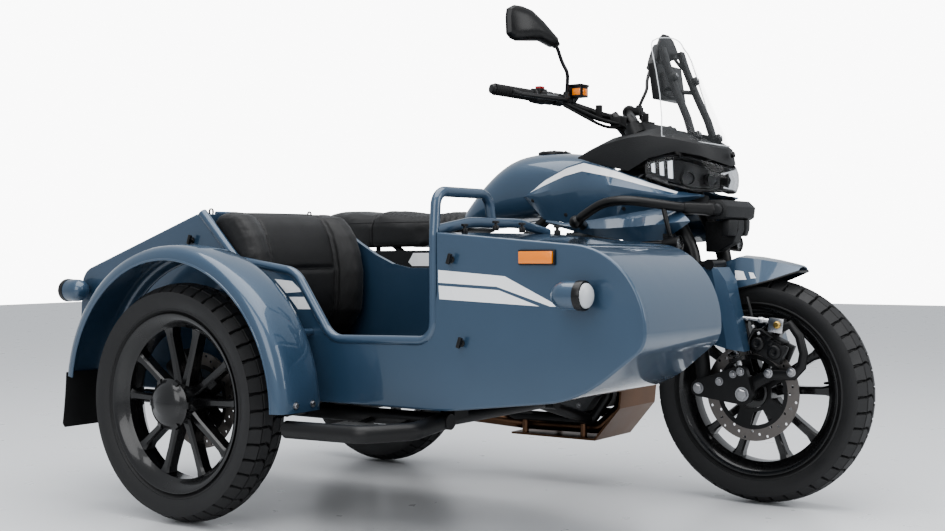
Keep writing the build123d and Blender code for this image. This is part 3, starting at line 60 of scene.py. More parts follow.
Spot = Sequence[float]
Colour = tuple[float, float, float]
MM = 0.001
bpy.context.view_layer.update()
JOINTS = {joint["name"]: joint for joint in frame["joints"]}
REAR_AXLE = Vector(JOINTS["rear_wheel_spin"]["pos_m"])
ALONG_Y = Vector((0.0, 1.0, 0.0))


def joint_place(name: str) -> Vector:
    """The place of a joint in millimetres from the rear axle."""
    return (Vector(JOINTS[name]["pos_m"]) - REAR_AXLE) / MM


FRONT_AXLE = joint_place("front_wheel_spin")
SIDE_AXLE = joint_place("sidecar_wheel_spin")
HEAD = joint_place("steering_turn")
BODY_OUT = (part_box("sidecar_outer_panel")[0][1] - REAR_AXLE.y) / MM
WHEEL_EYE_X = SIDE_AXLE.x - 92


class Grain(Enum):
    """The fine relief that a finish can have."""

    PEEL = "orange peel"
    PEBBLE = "pebble"
    HIDE = "hide"
    BRUSH = "brush"
    CAST = "cast"


def grain_group(grain: Grain) -> bpy.types.NodeTree:
    """The shader group of one fine relief, built once.

    Args:
        grain: which relief it lays.

    Returns:
        A group with a Height for bump and a slow Mask for colour and gloss.
    """
    name = "grain_" + grain.value.replace(" ", "_")
    if name in bpy.data.node_groups:
        return bpy.data.node_groups[name]
    tree = bpy.data.node_groups.new(name, "ShaderNodeTree")
    tree.interface.new_socket("Place", in_out="INPUT", socket_type="NodeSocketVector")
    tree.interface.new_socket("Scale", in_out="INPUT", socket_type="NodeSocketFloat")
    tree.interface.new_socket("Height", in_out="OUTPUT", socket_type="NodeSocketFloat")
    tree.interface.new_socket("Mask", in_out="OUTPUT", socket_type="NodeSocketFloat")
    source = tree.nodes.new("NodeGroupInput")
    result = tree.nodes.new("NodeGroupOutput")
    link = tree.links.new
    place = source.outputs["Place"]
    if grain is Grain.BRUSH:
        stretch = tree.nodes.new("ShaderNodeMapping")
        stretch.inputs["Scale"].default_value = (0.04, 1.0, 1.0)
        link(place, stretch.inputs["Vector"])
        place = stretch.outputs["Vector"]
    if grain in (Grain.PEBBLE, Grain.HIDE):
        relief = tree.nodes.new("ShaderNodeTexVoronoi")
        relief.feature = "SMOOTH_F1" if grain is Grain.PEBBLE else "DISTANCE_TO_EDGE"
        height = relief.outputs["Distance"]
        if grain is Grain.HIDE:
            flatten = tree.nodes.new("ShaderNodeMapRange")
            flatten.inputs["From Max"].default_value = 0.22
            link(height, flatten.inputs["Value"])
            height = flatten.outputs["Result"]
    else:
        relief = tree.nodes.new("ShaderNodeTexNoise")
        relief.inputs["Detail"].default_value = {Grain.PEEL: 0.0, Grain.BRUSH: 3.0,
                                                 Grain.CAST: 5.0}[grain]
        height = relief.outputs["Fac"]
    link(place, relief.inputs["Vector"])
    link(source.outputs["Scale"], relief.inputs["Scale"])
    slow = tree.nodes.new("ShaderNodeTexNoise")
    slow.inputs["Scale"].default_value = 9.0
    slow.inputs["Detail"].default_value = 4.0
    link(source.outputs["Place"], slow.inputs["Vector"])
    link(height, result.inputs["Height"])
    link(slow.outputs["Fac"], result.inputs["Mask"])
    return tree


def tone_group() -> bpy.types.NodeTree:
    """The shader group that shifts a colour and a gloss by a mask, built once."""
    if "tone" in bpy.data.node_groups:
        return bpy.data.node_groups["tone"]
    tree = bpy.data.node_groups.new("tone", "ShaderNodeTree")
    for name, kind in (("Mask", "Float"), ("Dark", "Color"), ("Light", "Color"), ("Smooth", "Float"),
                       ("Rough", "Float")):
        tree.interface.new_socket(name, in_out="INPUT", socket_type="NodeSocket" + kind)
    tree.interface.new_socket("Colour", in_out="OUTPUT", socket_type="NodeSocketColor")
    tree.interface.new_socket("Roughness", in_out="OUTPUT", socket_type="NodeSocketFloat")
    source = tree.nodes.new("NodeGroupInput")
    result = tree.nodes.new("NodeGroupOutput")
    mix = tree.nodes.new("ShaderNodeMix")
    mix.data_type = "RGBA"
    spread = tree.nodes.new("ShaderNodeMapRange")
    spread.inputs["From Min"].default_value = 0.3
    spread.inputs["From Max"].default_value = 0.7
    link = tree.links.new
    link(source.outputs["Mask"], mix.inputs["Factor"])
    link(source.outputs["Dark"], mix.inputs[6])
    link(source.outputs["Light"], mix.inputs[7])
    link(source.outputs["Mask"], spread.inputs["Value"])
    link(source.outputs["Smooth"], spread.inputs["To Min"])
    link(source.outputs["Rough"], spread.inputs["To Max"])
    link(mix.outputs[2], result.inputs["Colour"])
    link(spread.outputs["Result"], result.inputs["Roughness"])
    return tree


@dataclass(frozen=True)
class Finish:
    """One surface finish: its record slot, colour, gloss and fine relief."""

    name: str
    slot: str
    colour: Colour
    roughness: float
    metallic: float = 0.0
    coat: float = 0.0
    coat_roughness: float = 0.04
    transmission: float = 0.0
    ior: float = 1.5
    sheen: float = 0.0
    specular: float = 0.5
    alpha: float = 1.0
    glow: float = 0.0
    grain: Grain = Grain.PEEL
    grain_scale: float = 600.0
    bump: float = 0.02
    fade: float = 0.12
    rub: float = 0.06

    def material(self) -> bpy.types.Material:
        """The material of this finish, made once."""
        if self.name in bpy.data.materials:
            return bpy.data.materials[self.name]
        material = bpy.data.materials.new(self.name)
        material.use_nodes = True
        tree = material.node_tree
        shader = tree.nodes["Principled BSDF"]
        shader.inputs["Base Color"].default_value = (*self.colour, 1.0)
        plain = {"Metallic": self.metallic, "Coat Weight": self.coat,
                 "Coat Roughness": self.coat_roughness,
                 "Transmission Weight": self.transmission, "IOR": self.ior, "Sheen Weight": self.sheen,
                 "Specular IOR Level": self.specular, "Roughness": self.roughness, "Alpha": self.alpha}
        for socket, value in plain.items():
            shader.inputs[socket].default_value = value
        if self.glow:
            shader.inputs["Emission Color"].default_value = (*self.colour, 1.0)
            shader.inputs["Emission Strength"].default_value = self.glow
        self.lay_grain(tree, shader)
        return material

    def lay_grain(self, tree: bpy.types.NodeTree, shader: bpy.types.Node) -> None:
        """Lay the fine relief, the shade changes and the rubbed gloss.

        Args:
            tree: the material's nodes.
            shader: its Principled node.
        """
        place = tree.nodes.new("ShaderNodeTexCoord")
        grain = tree.nodes.new("ShaderNodeGroup")
        grain.node_tree = grain_group(self.grain)
        grain.inputs["Scale"].default_value = self.grain_scale
        tree.links.new(place.outputs["Object"], grain.inputs["Place"])
        tone = tree.nodes.new("ShaderNodeGroup")
        tone.node_tree = tone_group()
        tone.inputs["Dark"].default_value = (*(channel * (1 - self.fade) for channel in self.colour), 1.0)
        tone.inputs["Light"].default_value = (*(min(1.0, channel * (1 + self.fade))
                                                for channel in self.colour), 1.0)
        tone.inputs["Smooth"].default_value = max(0.0, self.roughness - self.rub)
        tone.inputs["Rough"].default_value = min(1.0, self.roughness + self.rub)
        tree.links.new(grain.outputs["Mask"], tone.inputs["Mask"])
        tree.links.new(tone.outputs["Colour"], shader.inputs["Base Color"])
        tree.links.new(tone.outputs["Roughness"], shader.inputs["Roughness"])
        if self.bump:
            bump = tree.nodes.new("ShaderNodeBump")
            bump.inputs["Strength"].default_value = self.bump
            bump.inputs["Distance"].default_value = MM
            tree.links.new(grain.outputs["Height"], bump.inputs["Height"])
            tree.links.new(bump.outputs["Normal"], shader.inputs["Normal"])


BLUE = Finish("slate_blue_paint", "blue_paint", (0.030, 0.064, 0.110), 0.36, metallic=0.2, coat=1.0,
              grain_scale=900.0, bump=0.012, fade=0.06, rub=0.04)
BLACK = Finish("satin_black_coat", "black_paint", (0.007, 0.007, 0.0075), 0.36, specular=0.4,
               grain_scale=1400.0,
               bump=0.10, rub=0.08)
GLOSS_BLACK = Finish("gloss_black_coat", "black_paint", (0.006, 0.006, 0.0065), 0.26, coat=0.5,
                     specular=0.4, bump=0.03)
PLASTIC = Finish("grained_plastic", "black_plastic", (0.013, 0.0135, 0.0145), 0.52, specular=0.4,
                 grain=Grain.PEBBLE,
                 grain_scale=420.0, bump=0.5)
SMOOTH_PLASTIC = Finish("smooth_plastic", "black_plastic", (0.007, 0.007, 0.0075), 0.32, specular=0.4,
                        bump=0.04)
TREAD = Finish("tyre_rubber", "tyre", (0.0165, 0.0165, 0.0172), 0.58, specular=0.45, grain=Grain.CAST,
               grain_scale=260.0,
               bump=0.22, fade=0.3, rub=0.12)
RUBBER = Finish("soft_rubber", "rubber", (0.008, 0.008, 0.0085), 0.60, specular=0.35, grain=Grain.CAST,
                grain_scale=500.0, bump=0.15)
STEEL = Finish("ground_steel", "steel", (0.52, 0.52, 0.53), 0.30, metallic=1.0, grain=Grain.BRUSH,
               grain_scale=1600.0,
               bump=0.06, fade=0.10)
DISC_STEEL = Finish("brake_disc_steel", "steel", (0.20, 0.185, 0.175), 0.40, metallic=1.0,
                    grain=Grain.BRUSH,
                    grain_scale=900.0, bump=0.10, fade=0.14)
ZINC = Finish("zinc_bolts", "steel", (0.36, 0.36, 0.37), 0.34, metallic=1.0, grain=Grain.CAST, bump=0.05)
BRASS = Finish("brass_fitting", "steel", (0.52, 0.36, 0.12), 0.34, metallic=1.0, grain=Grain.CAST,
               bump=0.05)
DARK_STEEL = Finish("oiled_chain_steel", "steel", (0.12, 0.115, 0.11), 0.36, metallic=1.0,
                    grain=Grain.CAST, bump=0.08)
ALLOY = Finish("cast_alloy", "alloy", (0.16, 0.163, 0.167), 0.46, metallic=0.9, grain=Grain.CAST,
               grain_scale=420.0,
               bump=0.25)
HOT_PIPE = Finish("browned_pipe", "steel", (0.14, 0.082, 0.052), 0.36, metallic=1.0, grain=Grain.CAST,
                  grain_scale=40.0, bump=0.04, fade=0.5)
HIDE = Finish("seat_hide", "seat_leather", (0.0075, 0.0075, 0.008), 0.42, specular=0.4, sheen=0.05,
              grain=Grain.HIDE,
              grain_scale=520.0, bump=0.30, fade=0.18, rub=0.10)
THREAD = Finish("seat_thread", "seat_leather", (0.016, 0.016, 0.017), 0.6, grain=Grain.CAST, bump=0.1)
SCREEN = Finish("screen_sheet_clear", "clear_screen", (0.16, 0.17, 0.175), 0.03, specular=0.35,
                alpha=0.07,
                bump=0.0, fade=0.0, rub=0.0)
# Painted highlight: a pale, half-clear coat for the rod round the screen's edge, standing in for the
# bright edge of the clear sheet.
SCREEN_EDGE_HIGHLIGHT = Finish("screen_edge", "clear_screen", (0.78, 0.80, 0.82), 0.12, alpha=0.6, bump=0.0,
                     fade=0.0, rub=0.0)
LENS = Finish("clear_lens", "lamp_lens", (0.96, 0.97, 0.98), 0.02, transmission=1.0, ior=1.2, bump=0.0,
              fade=0.0,
              rub=0.01)
FROST = Finish("frosted_lens", "lamp_lens", (0.80, 0.82, 0.84), 0.16, transmission=0.45, ior=1.4,
               grain=Grain.PEBBLE, grain_scale=240.0, bump=0.3)
RED = Finish("red_lamp_plastic", "red_lens", (0.36, 0.006, 0.006), 0.14, coat=1.0, bump=0.05)
AMBER = Finish("amber_lens", "red_lens", (0.80, 0.22, 0.010), 0.18, coat=1.0, grain=Grain.PEBBLE,
               grain_scale=400.0,
               bump=0.5)
WHITE = Finish("white_film", "blue_paint", (0.80, 0.81, 0.82), 0.30, coat=0.6, bump=0.01, fade=0.03)
MIRROR = Finish("mirror_glass", "steel", (0.86, 0.87, 0.88), 0.02, metallic=1.0, bump=0.0, fade=0.0,
                rub=0.01)
REFLECTOR = Finish("lamp_reflector", "steel", (0.55, 0.56, 0.57), 0.10, metallic=1.0, bump=0.02,
                   fade=0.02, rub=0.03)
LIGHT_BAR = Finish("light_bar", "lamp_lens", (0.90, 0.93, 0.96), 0.22, glow=0.35, bump=0.0, fade=0.0)
DISPLAY = Finish("dark_glass", "black_plastic", (0.003, 0.003, 0.004), 0.06, coat=1.0, bump=0.0, rub=0.02)
WORN_TREAD = Finish("worn_step", "alloy", (0.15, 0.15, 0.15), 0.55, metallic=0.8, grain=Grain.CAST,
                    grain_scale=160.0,
                    bump=0.3, fade=0.35, rub=0.12)


class Form:
    """A mesh being shaped, in millimetres from the rear axle."""

    def __init__(self) -> None:
        """Start with no faces."""
        self.shape = bmesh.new()
        self.coat = 0

    def face(self, corners: Sequence[bmesh.types.BMVert]) -> None:
        """Close one face in the current coat."""
        made = self.shape.faces.new(corners)
        made.material_index = self.coat

    def skin(self, rings: Sequence[Sequence[Spot]], loop: bool = True, ends: bool = True) -> "Form":
        """Stretch a skin over rings of equal length.

        Args:
            rings: the rings of places, in order.
            loop: whether each ring closes on itself.
            ends: whether the first and last rings are closed with a face.

        Returns:
            This form.
        """
        rows = [[self.shape.verts.new(spot) for spot in ring] for ring in rings]
        count = len(rows[0])
        for low, high in zip(rows, rows[1:]):
            for here in range(count if loop else count - 1):
                after = (here + 1) % count
                self.face((low[here], low[after], high[after], high[here]))
        if loop and ends:
            self.face(rows[0])
            self.face(list(reversed(rows[-1])))
        return self

    def spin(self, centre: Spot, axis: Spot, profile: Sequence[tuple[float, float]], steps: int = 48,
             closed: bool = False) -> "Form":
        """Turn a profile round an axis.

        Args:
            centre: the place that the profile is measured from.
            axis: the direction of the axis.
            profile: pairs of distance along the axis and radius.
            steps: faces round the turn.
            closed: whether the profile is a closed loop.

        Returns:
            This form.
        """
        middle = Vector(centre)
        along = Vector(axis).normalized()
        across = along.orthogonal().normalized()
        up = along.cross(across)
        turns = [2 * math.pi * step / steps for step in range(steps)]
        points = list(profile) + [profile[0]] if closed else profile
        rings = [[middle + along * far + (across * math.cos(turn) + up * math.sin(turn)) * radius
                  for turn in turns]
                 for far, radius in points]
        return self.skin(rings, ends=not closed)

    def rod(self, path: Sequence[Spot], radius: float | Sequence[float], sides: int = 14) -> "Form":
        """Run a round rod along a path.

        Args:
            path: the places that it follows.
            radius: one radius, or one for each place.
            sides: faces round the rod.

        Returns:
            This form.
        """
        spots = [Vector(spot) for spot in path]
        radii = [radius] * len(spots) if isinstance(radius, (int, float)) else radius
        runs = [(spots[min(i + 1, len(spots) - 1)] - spots[max(i - 1, 0)]).normalized()
                for i in range(len(spots))]
        side = runs[0].orthogonal().normalized()
        rings = []
        for spot, run, size in zip(spots, runs, radii):
            side = (side - run * side.dot(run)).normalized()
            other = run.cross(side)
            rings.append([spot + (side * math.cos(2 * math.pi * i / sides) + other
                                  * math.sin(2 * math.pi * i / sides))
                          * size for i in range(sides)])
        return self.skin(rings)

    def slab(self, outline: Sequence[Spot], depth: Spot) -> "Form":
        """Give a flat outline a thickness along depth."""
        offset = Vector(depth)
        return self.skin([[Vector(spot) for spot in outline],
                          [Vector(spot) + offset for spot in outline]])

    def block(self, centre: Spot, size: Spot, turn: Matrix | None = None) -> "Form":
        """Add a block by its middle, its size and its turn."""
        half = Vector(size) / 2
        spin = turn or Matrix.Identity(3)
        rings = [[Vector(centre) + spin @ Vector((x * half.x, y * half.y, z * half.z))
                  for x, y in ((-1, -1), (1, -1), (1, 1), (-1, 1))] for z in (-1, 1)]
        return self.skin(rings)

    def take(self, mesh: bpy.types.Mesh) -> "Form":
        """Add a finished mesh in millimetres, in the current coat, and drop it."""
        before = set(self.shape.faces)
        self.shape.from_mesh(mesh)
        for made in self.shape.faces:
            if made not in before:
                made.material_index = self.coat
        bpy.data.meshes.remove(mesh)
        return self

    def mirror(self) -> "Form":
        """Add the mirror image on the other side of the motorcycle."""
        copy = bmesh.ops.duplicate(self.shape, geom=self.shape.verts[:] + self.shape.edges[:]
                                   + self.shape.faces[:])
        verts = [item for item in copy["geom"] if isinstance(item, bmesh.types.BMVert)]
        bmesh.ops.scale(self.shape, vec=(1, -1, 1), verts=verts)
        return self

    def raw(self, name: str) -> bpy.types.Mesh:
        """The mesh in millimetres, with doubles merged and faces turned outwards."""
        bmesh.ops.remove_doubles(self.shape, verts=self.shape.verts[:], dist=0.01)
        bmesh.ops.recalc_face_normals(self.shape, faces=self.shape.faces[:])
        mesh = bpy.data.meshes.new(name)
        self.shape.to_mesh(mesh)
        self.shape.free()
        return mesh

    def done(self, name: str, crease: float = 32.0, wall: float = 0.0, bevel: float = 0.0,
             levels: int = 0) -> bpy.types.Mesh:
        """Finish the mesh in the frame's metres.

        Args:
            name: the mesh's name.
            crease: the angle in degrees above which an edge stays sharp.
            wall: the thickness of a sheet, laid inwards.
            bevel: the width of the rounded edges.
            levels: how often the faces are smoothly divided.

        Returns:
            The finished mesh.
        """
        mesh = self.raw(name)
        holder = bpy.data.objects.new(name, mesh)
        if wall:
            solid = holder.modifiers.new("wall", "SOLIDIFY")
            solid.thickness = wall
            solid.offset = -1.0
        if bevel:
            rounding = holder.modifiers.new("edges", "BEVEL")
            rounding.width = bevel
            rounding.segments = 2
            rounding.limit_method = "ANGLE"
            rounding.angle_limit = math.radians(crease)
        if levels:
            smooth = holder.modifiers.new("smooth", "SUBSURF")
            smooth.levels = levels
            smooth.render_levels = levels
        finished = settled(holder, name)
        bpy.data.meshes.remove(mesh)
        finished.transform(Matrix.Translation(REAR_AXLE) @ Matrix.Scale(MM, 4))
        shade(finished, crease)
        return finished


def settled(holder: bpy.types.Object, name: str) -> bpy.types.Mesh:
    """Turn an object with its modifiers into a plain mesh and drop the object.

    Args:
        holder: the object, not yet in the scene.
        name: the name of the new mesh.

    Returns:
        The plain mesh.
    """
    bpy.context.scene.collection.objects.link(holder)
    bpy.context.view_layer.update()
    view = bpy.context.evaluated_depsgraph_get()
    mesh = bpy.data.meshes.new_from_object(holder.evaluated_get(view), preserve_all_data_layers=True,
                                           depsgraph=view)
    mesh.name = name
    holder.modifiers.clear()
    bpy.data.objects.remove(holder)
    return mesh


def shade(mesh: bpy.types.Mesh, crease: float) -> None:
    """Shade a mesh smooth, with edges sharper than the crease angle left sharp."""
    mesh.shade_smooth()
    mesh.set_sharp_from_angle(angle=math.radians(crease))


def place(name: str, mesh: bpy.types.Mesh, body: str, coats: Sequence[Finish],
          stands_for: Sequence[str] = ()
          ) -> bpy.types.Object:
    """Put a finished mesh into the scene as one piece.

    Args:
        name: the piece's name.
        mesh: its mesh in the frame's metres.
        body: the CAD body that it rides on.
        coats: its finishes, in the order of the mesh's coats.
        stands_for: CAD nodes that it replaces.

    Returns:
        The piece.
    """
    piece = bpy.data.objects.new(name, mesh)
    bpy.context.scene.collection.objects.link(piece)
    for coat in coats:
        mesh.materials.append(coat.material())
    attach(piece, body)
    if stands_for:
        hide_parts(*stands_for)
    LOG.info("%s on %s, %d faces", name, body, len(mesh.polygons))
    return piece


class Layout(Enum):
    """How copies of a part are set out."""

    RING = "ring"
    ROW = "row"
    CHAIN = "chain"


def layout_tree(layout: Layout) -> bpy.types.NodeTree:
    """The Geometry Nodes tree that sets out copies of a part, built once for each layout.

    Args:
        layout: round the wheel's axis, along a straight row, or along a flat loop of curve.

    Returns:
        The tree, with its sizes as named inputs.
    """
    name = "set_out_" + layout.value
    if name in bpy.data.node_groups:
        return bpy.data.node_groups[name]
    tree = bpy.data.node_groups.new(name, "GeometryNodeTree")
    sockets = [("Part", "Object"), ("Coat", "Material"), ("Count", "Int")]
    sockets += {Layout.RING: [("Centre", "Vector"), ("Start", "Float")],
                Layout.ROW: [("First", "Vector"), ("Step", "Vector")],
                Layout.CHAIN: [("Path", "Object")]}[layout]
    for socket, kind in sockets:
        tree.interface.new_socket(socket, in_out="INPUT", socket_type="NodeSocket" + kind)
    tree.interface.new_socket("Mesh", in_out="OUTPUT", socket_type="NodeSocketGeometry")
    source = tree.nodes.new("NodeGroupInput")
    result = tree.nodes.new("NodeGroupOutput")
    part = tree.nodes.new("GeometryNodeObjectInfo")
    copies = tree.nodes.new("GeometryNodeInstanceOnPoints")
    real = tree.nodes.new("GeometryNodeRealizeInstances")
    coat = tree.nodes.new("GeometryNodeSetMaterial")
    link = tree.links.new
    link(source.outputs["Part"], part.inputs["Object"])
    link(part.outputs["Geometry"], copies.inputs["Instance"])
    points, turn = LAYOUT_POINTS[layout](tree, source)
    link(points, copies.inputs["Points"])
    if turn is not None:
        link(turn, copies.inputs["Rotation"])
    link(copies.outputs["Instances"], real.inputs["Geometry"])
    link(real.outputs["Geometry"], coat.inputs["Geometry"])
    link(source.outputs["Coat"], coat.inputs["Material"])
    link(coat.outputs["Geometry"], result.inputs["Mesh"])
    return tree


def turn_node(tree: bpy.types.NodeTree, angle: bpy.types.NodeSocket) -> bpy.types.NodeSocket:
    """A turn about the wheels' axis by the negative of an angle."""
    minus = tree.nodes.new("ShaderNodeMath")
    minus.operation = "MULTIPLY"
    minus.inputs[1].default_value = -1.0
    turn = tree.nodes.new("ShaderNodeCombineXYZ")
    tree.links.new(angle, minus.inputs[0])
    tree.links.new(minus.outputs[0], turn.inputs["Y"])
    return turn.outputs["Vector"]


def ring_points(tree: bpy.types.NodeTree, source: bpy.types.Node) -> tuple:
    """Points at one centre, each with its share of a full turn."""
    index = tree.nodes.new("GeometryNodeInputIndex")
    share = tree.nodes.new("ShaderNodeMath")
    share.operation = "DIVIDE"
    share.inputs[0].default_value = 2 * math.pi
    angle = tree.nodes.new("ShaderNodeMath")
    angle.operation = "MULTIPLY_ADD"
    points = tree.nodes.new("GeometryNodePoints")
    tree.links.new(source.outputs["Count"], share.inputs[1])
    tree.links.new(index.outputs["Index"], angle.inputs[0])
    tree.links.new(share.outputs[0], angle.inputs[1])
    tree.links.new(source.outputs["Start"], angle.inputs[2])
    tree.links.new(source.outputs["Count"], points.inputs["Count"])
    tree.links.new(source.outputs["Centre"], points.inputs["Position"])
    return points.outputs[0], turn_node(tree, angle.outputs[0])


def row_points(tree: bpy.types.NodeTree, source: bpy.types.Node) -> tuple:
    """Points along a straight row."""
    line = tree.nodes.new("GeometryNodeMeshLine")
    tree.links.new(source.outputs["Count"], line.inputs["Count"])
    tree.links.new(source.outputs["First"], line.inputs["Start Location"])
    tree.links.new(source.outputs["Step"], line.inputs["Offset"])
    return line.outputs["Mesh"], None


def chain_points(tree: bpy.types.NodeTree, source: bpy.types.Node) -> tuple:
    """Points spread evenly along a flat curve, each turned along it."""
    path = tree.nodes.new("GeometryNodeObjectInfo")
    spread = tree.nodes.new("GeometryNodeCurveToPoints")
    spread.mode = "COUNT"
    split = tree.nodes.new("ShaderNodeSeparateXYZ")
    angle = tree.nodes.new("ShaderNodeMath")
    angle.operation = "ARCTAN2"
    tree.links.new(source.outputs["Path"], path.inputs["Object"])
    tree.links.new(path.outputs["Geometry"], spread.inputs["Curve"])
    tree.links.new(source.outputs["Count"], spread.inputs["Count"])
    tree.links.new(spread.outputs["Tangent"], split.inputs["Vector"])
    tree.links.new(split.outputs["Z"], angle.inputs[0])
    tree.links.new(split.outputs["X"], angle.inputs[1])
    return spread.outputs["Points"], turn_node(tree, angle.outputs[0])


LAYOUT_POINTS: dict[Layout, Callable] = {Layout.RING: ring_points, Layout.ROW: row_points,
                                         Layout.CHAIN: chain_points}


def set_out(layout: Layout, part: Form, coat: Finish, **sizes: object) -> bpy.types.Mesh:
    """Set out copies of a part as one mesh in millimetres.

    Args:
        layout: how they are set out.
        part: the shape that repeats.
        coat: its finish.
        **sizes: the tree's other inputs by name.

    Returns:
        One plain mesh with all copies.
    """
    tree = layout_tree(layout)
    mesh = part.raw("part")
    model = bpy.data.objects.new("part", mesh)
    holder = bpy.data.objects.new("copies", bpy.data.meshes.new("copies"))
    nodes = holder.modifiers.new("copies", "NODES")
    nodes.node_group = tree
    values = {"Part": model, "Coat": coat.material(), **sizes}
    for item in tree.interface.items_tree:
        if item.in_out == "INPUT":
            nodes[item.identifier] = values[item.name]
    bpy.context.scene.collection.objects.link(model)
    copies = settled(holder, "copies")
    bpy.data.objects.remove(model)
    bpy.data.meshes.remove(mesh)
    return copies


def ring_of(part: Form, coat: Finish, count: int, centre: Spot, start: float = 0.0) -> bpy.types.Mesh:
    """Copies of a part round an axis along y, where the part is drawn about the origin."""
    return set_out(Layout.RING, part, coat, Count=count, Centre=tuple(centre), Start=start)


def row_of(part: Form, coat: Finish, count: int, first: Spot, step: Spot) -> bpy.types.Mesh:
    """Copies of a part along a straight row."""
    return set_out(Layout.ROW, part, coat, Count=count, First=tuple(first), Step=tuple(step))


def drilled_plate(loops: Sequence[Sequence[tuple[float, float]]], thickness: float) -> bpy.types.Mesh:
    """A flat plate in the side view, about the origin, with its inner loops as holes.

    Args:
        loops: outlines of x and z pairs, the outer one first.
        thickness: the plate's thickness along y.

    Returns:
        The plate's mesh in millimetres.
    """
    curve = bpy.data.curves.new("plate", "CURVE")
    curve.dimensions = "2D"
    curve.fill_mode = "BOTH"
    curve.extrude = thickness / 2
    for loop in loops:
        spline = curve.splines.new("POLY")
        spline.points.add(len(loop) - 1)
        spline.use_cyclic_u = True
        for point, (x, z) in zip(spline.points, loop):
            point.co = (x, z, 0.0, 1.0)
    mesh = settled(bpy.data.objects.new("plate", curve), "plate")
    bpy.data.curves.remove(curve)
    mesh.transform(Matrix.Rotation(math.radians(90), 4, "X"))
    return mesh


def circle(radius: float, steps: int, x: float = 0.0, z: float = 0.0) -> list[tuple[float, float]]:
    """A round outline in the side view."""
    return [(x + radius * math.cos(2 * math.pi * i / steps),
             z + radius * math.sin(2 * math.pi * i / steps))
            for i in range(steps)]


def hex_bolt(form: Form, spot: Spot, axis: Spot, radius: float, height: float) -> None:
    """Add a hexagon bolt head on its washer.

    Args:
        form: the form that it joins.
        spot: the middle of the face that it sits on.
        axis: the direction that it stands out in.
        radius: the head's radius over its corners.
        height: the head's height.
    """
    form.spin(spot, axis, [(-1.0, 0.0), (-1.0, radius * 1.35), (1.2, radius * 1.35), (1.2, 0.0)], 16)
    form.spin(spot, axis, [(0.0, 0.0), (0.0, radius), (height * 0.8, radius), (height, radius * 0.8),
                           (height, 0.0)], 6)


def dress(finishes: dict[Finish, Iterable[str]]) -> None:
    """Give CAD nodes that keep their shape a better material.

    Args:
        finishes: the nodes' names for each finish.
    """
    for finish, names in finishes.items():
        for name in names:
            node = frame["nodes"][name]
            for slot in node.material_slots:
                slot.material = finish.material()
            LOG.info("%s keeps its CAD shape in %s", name, finish.name)


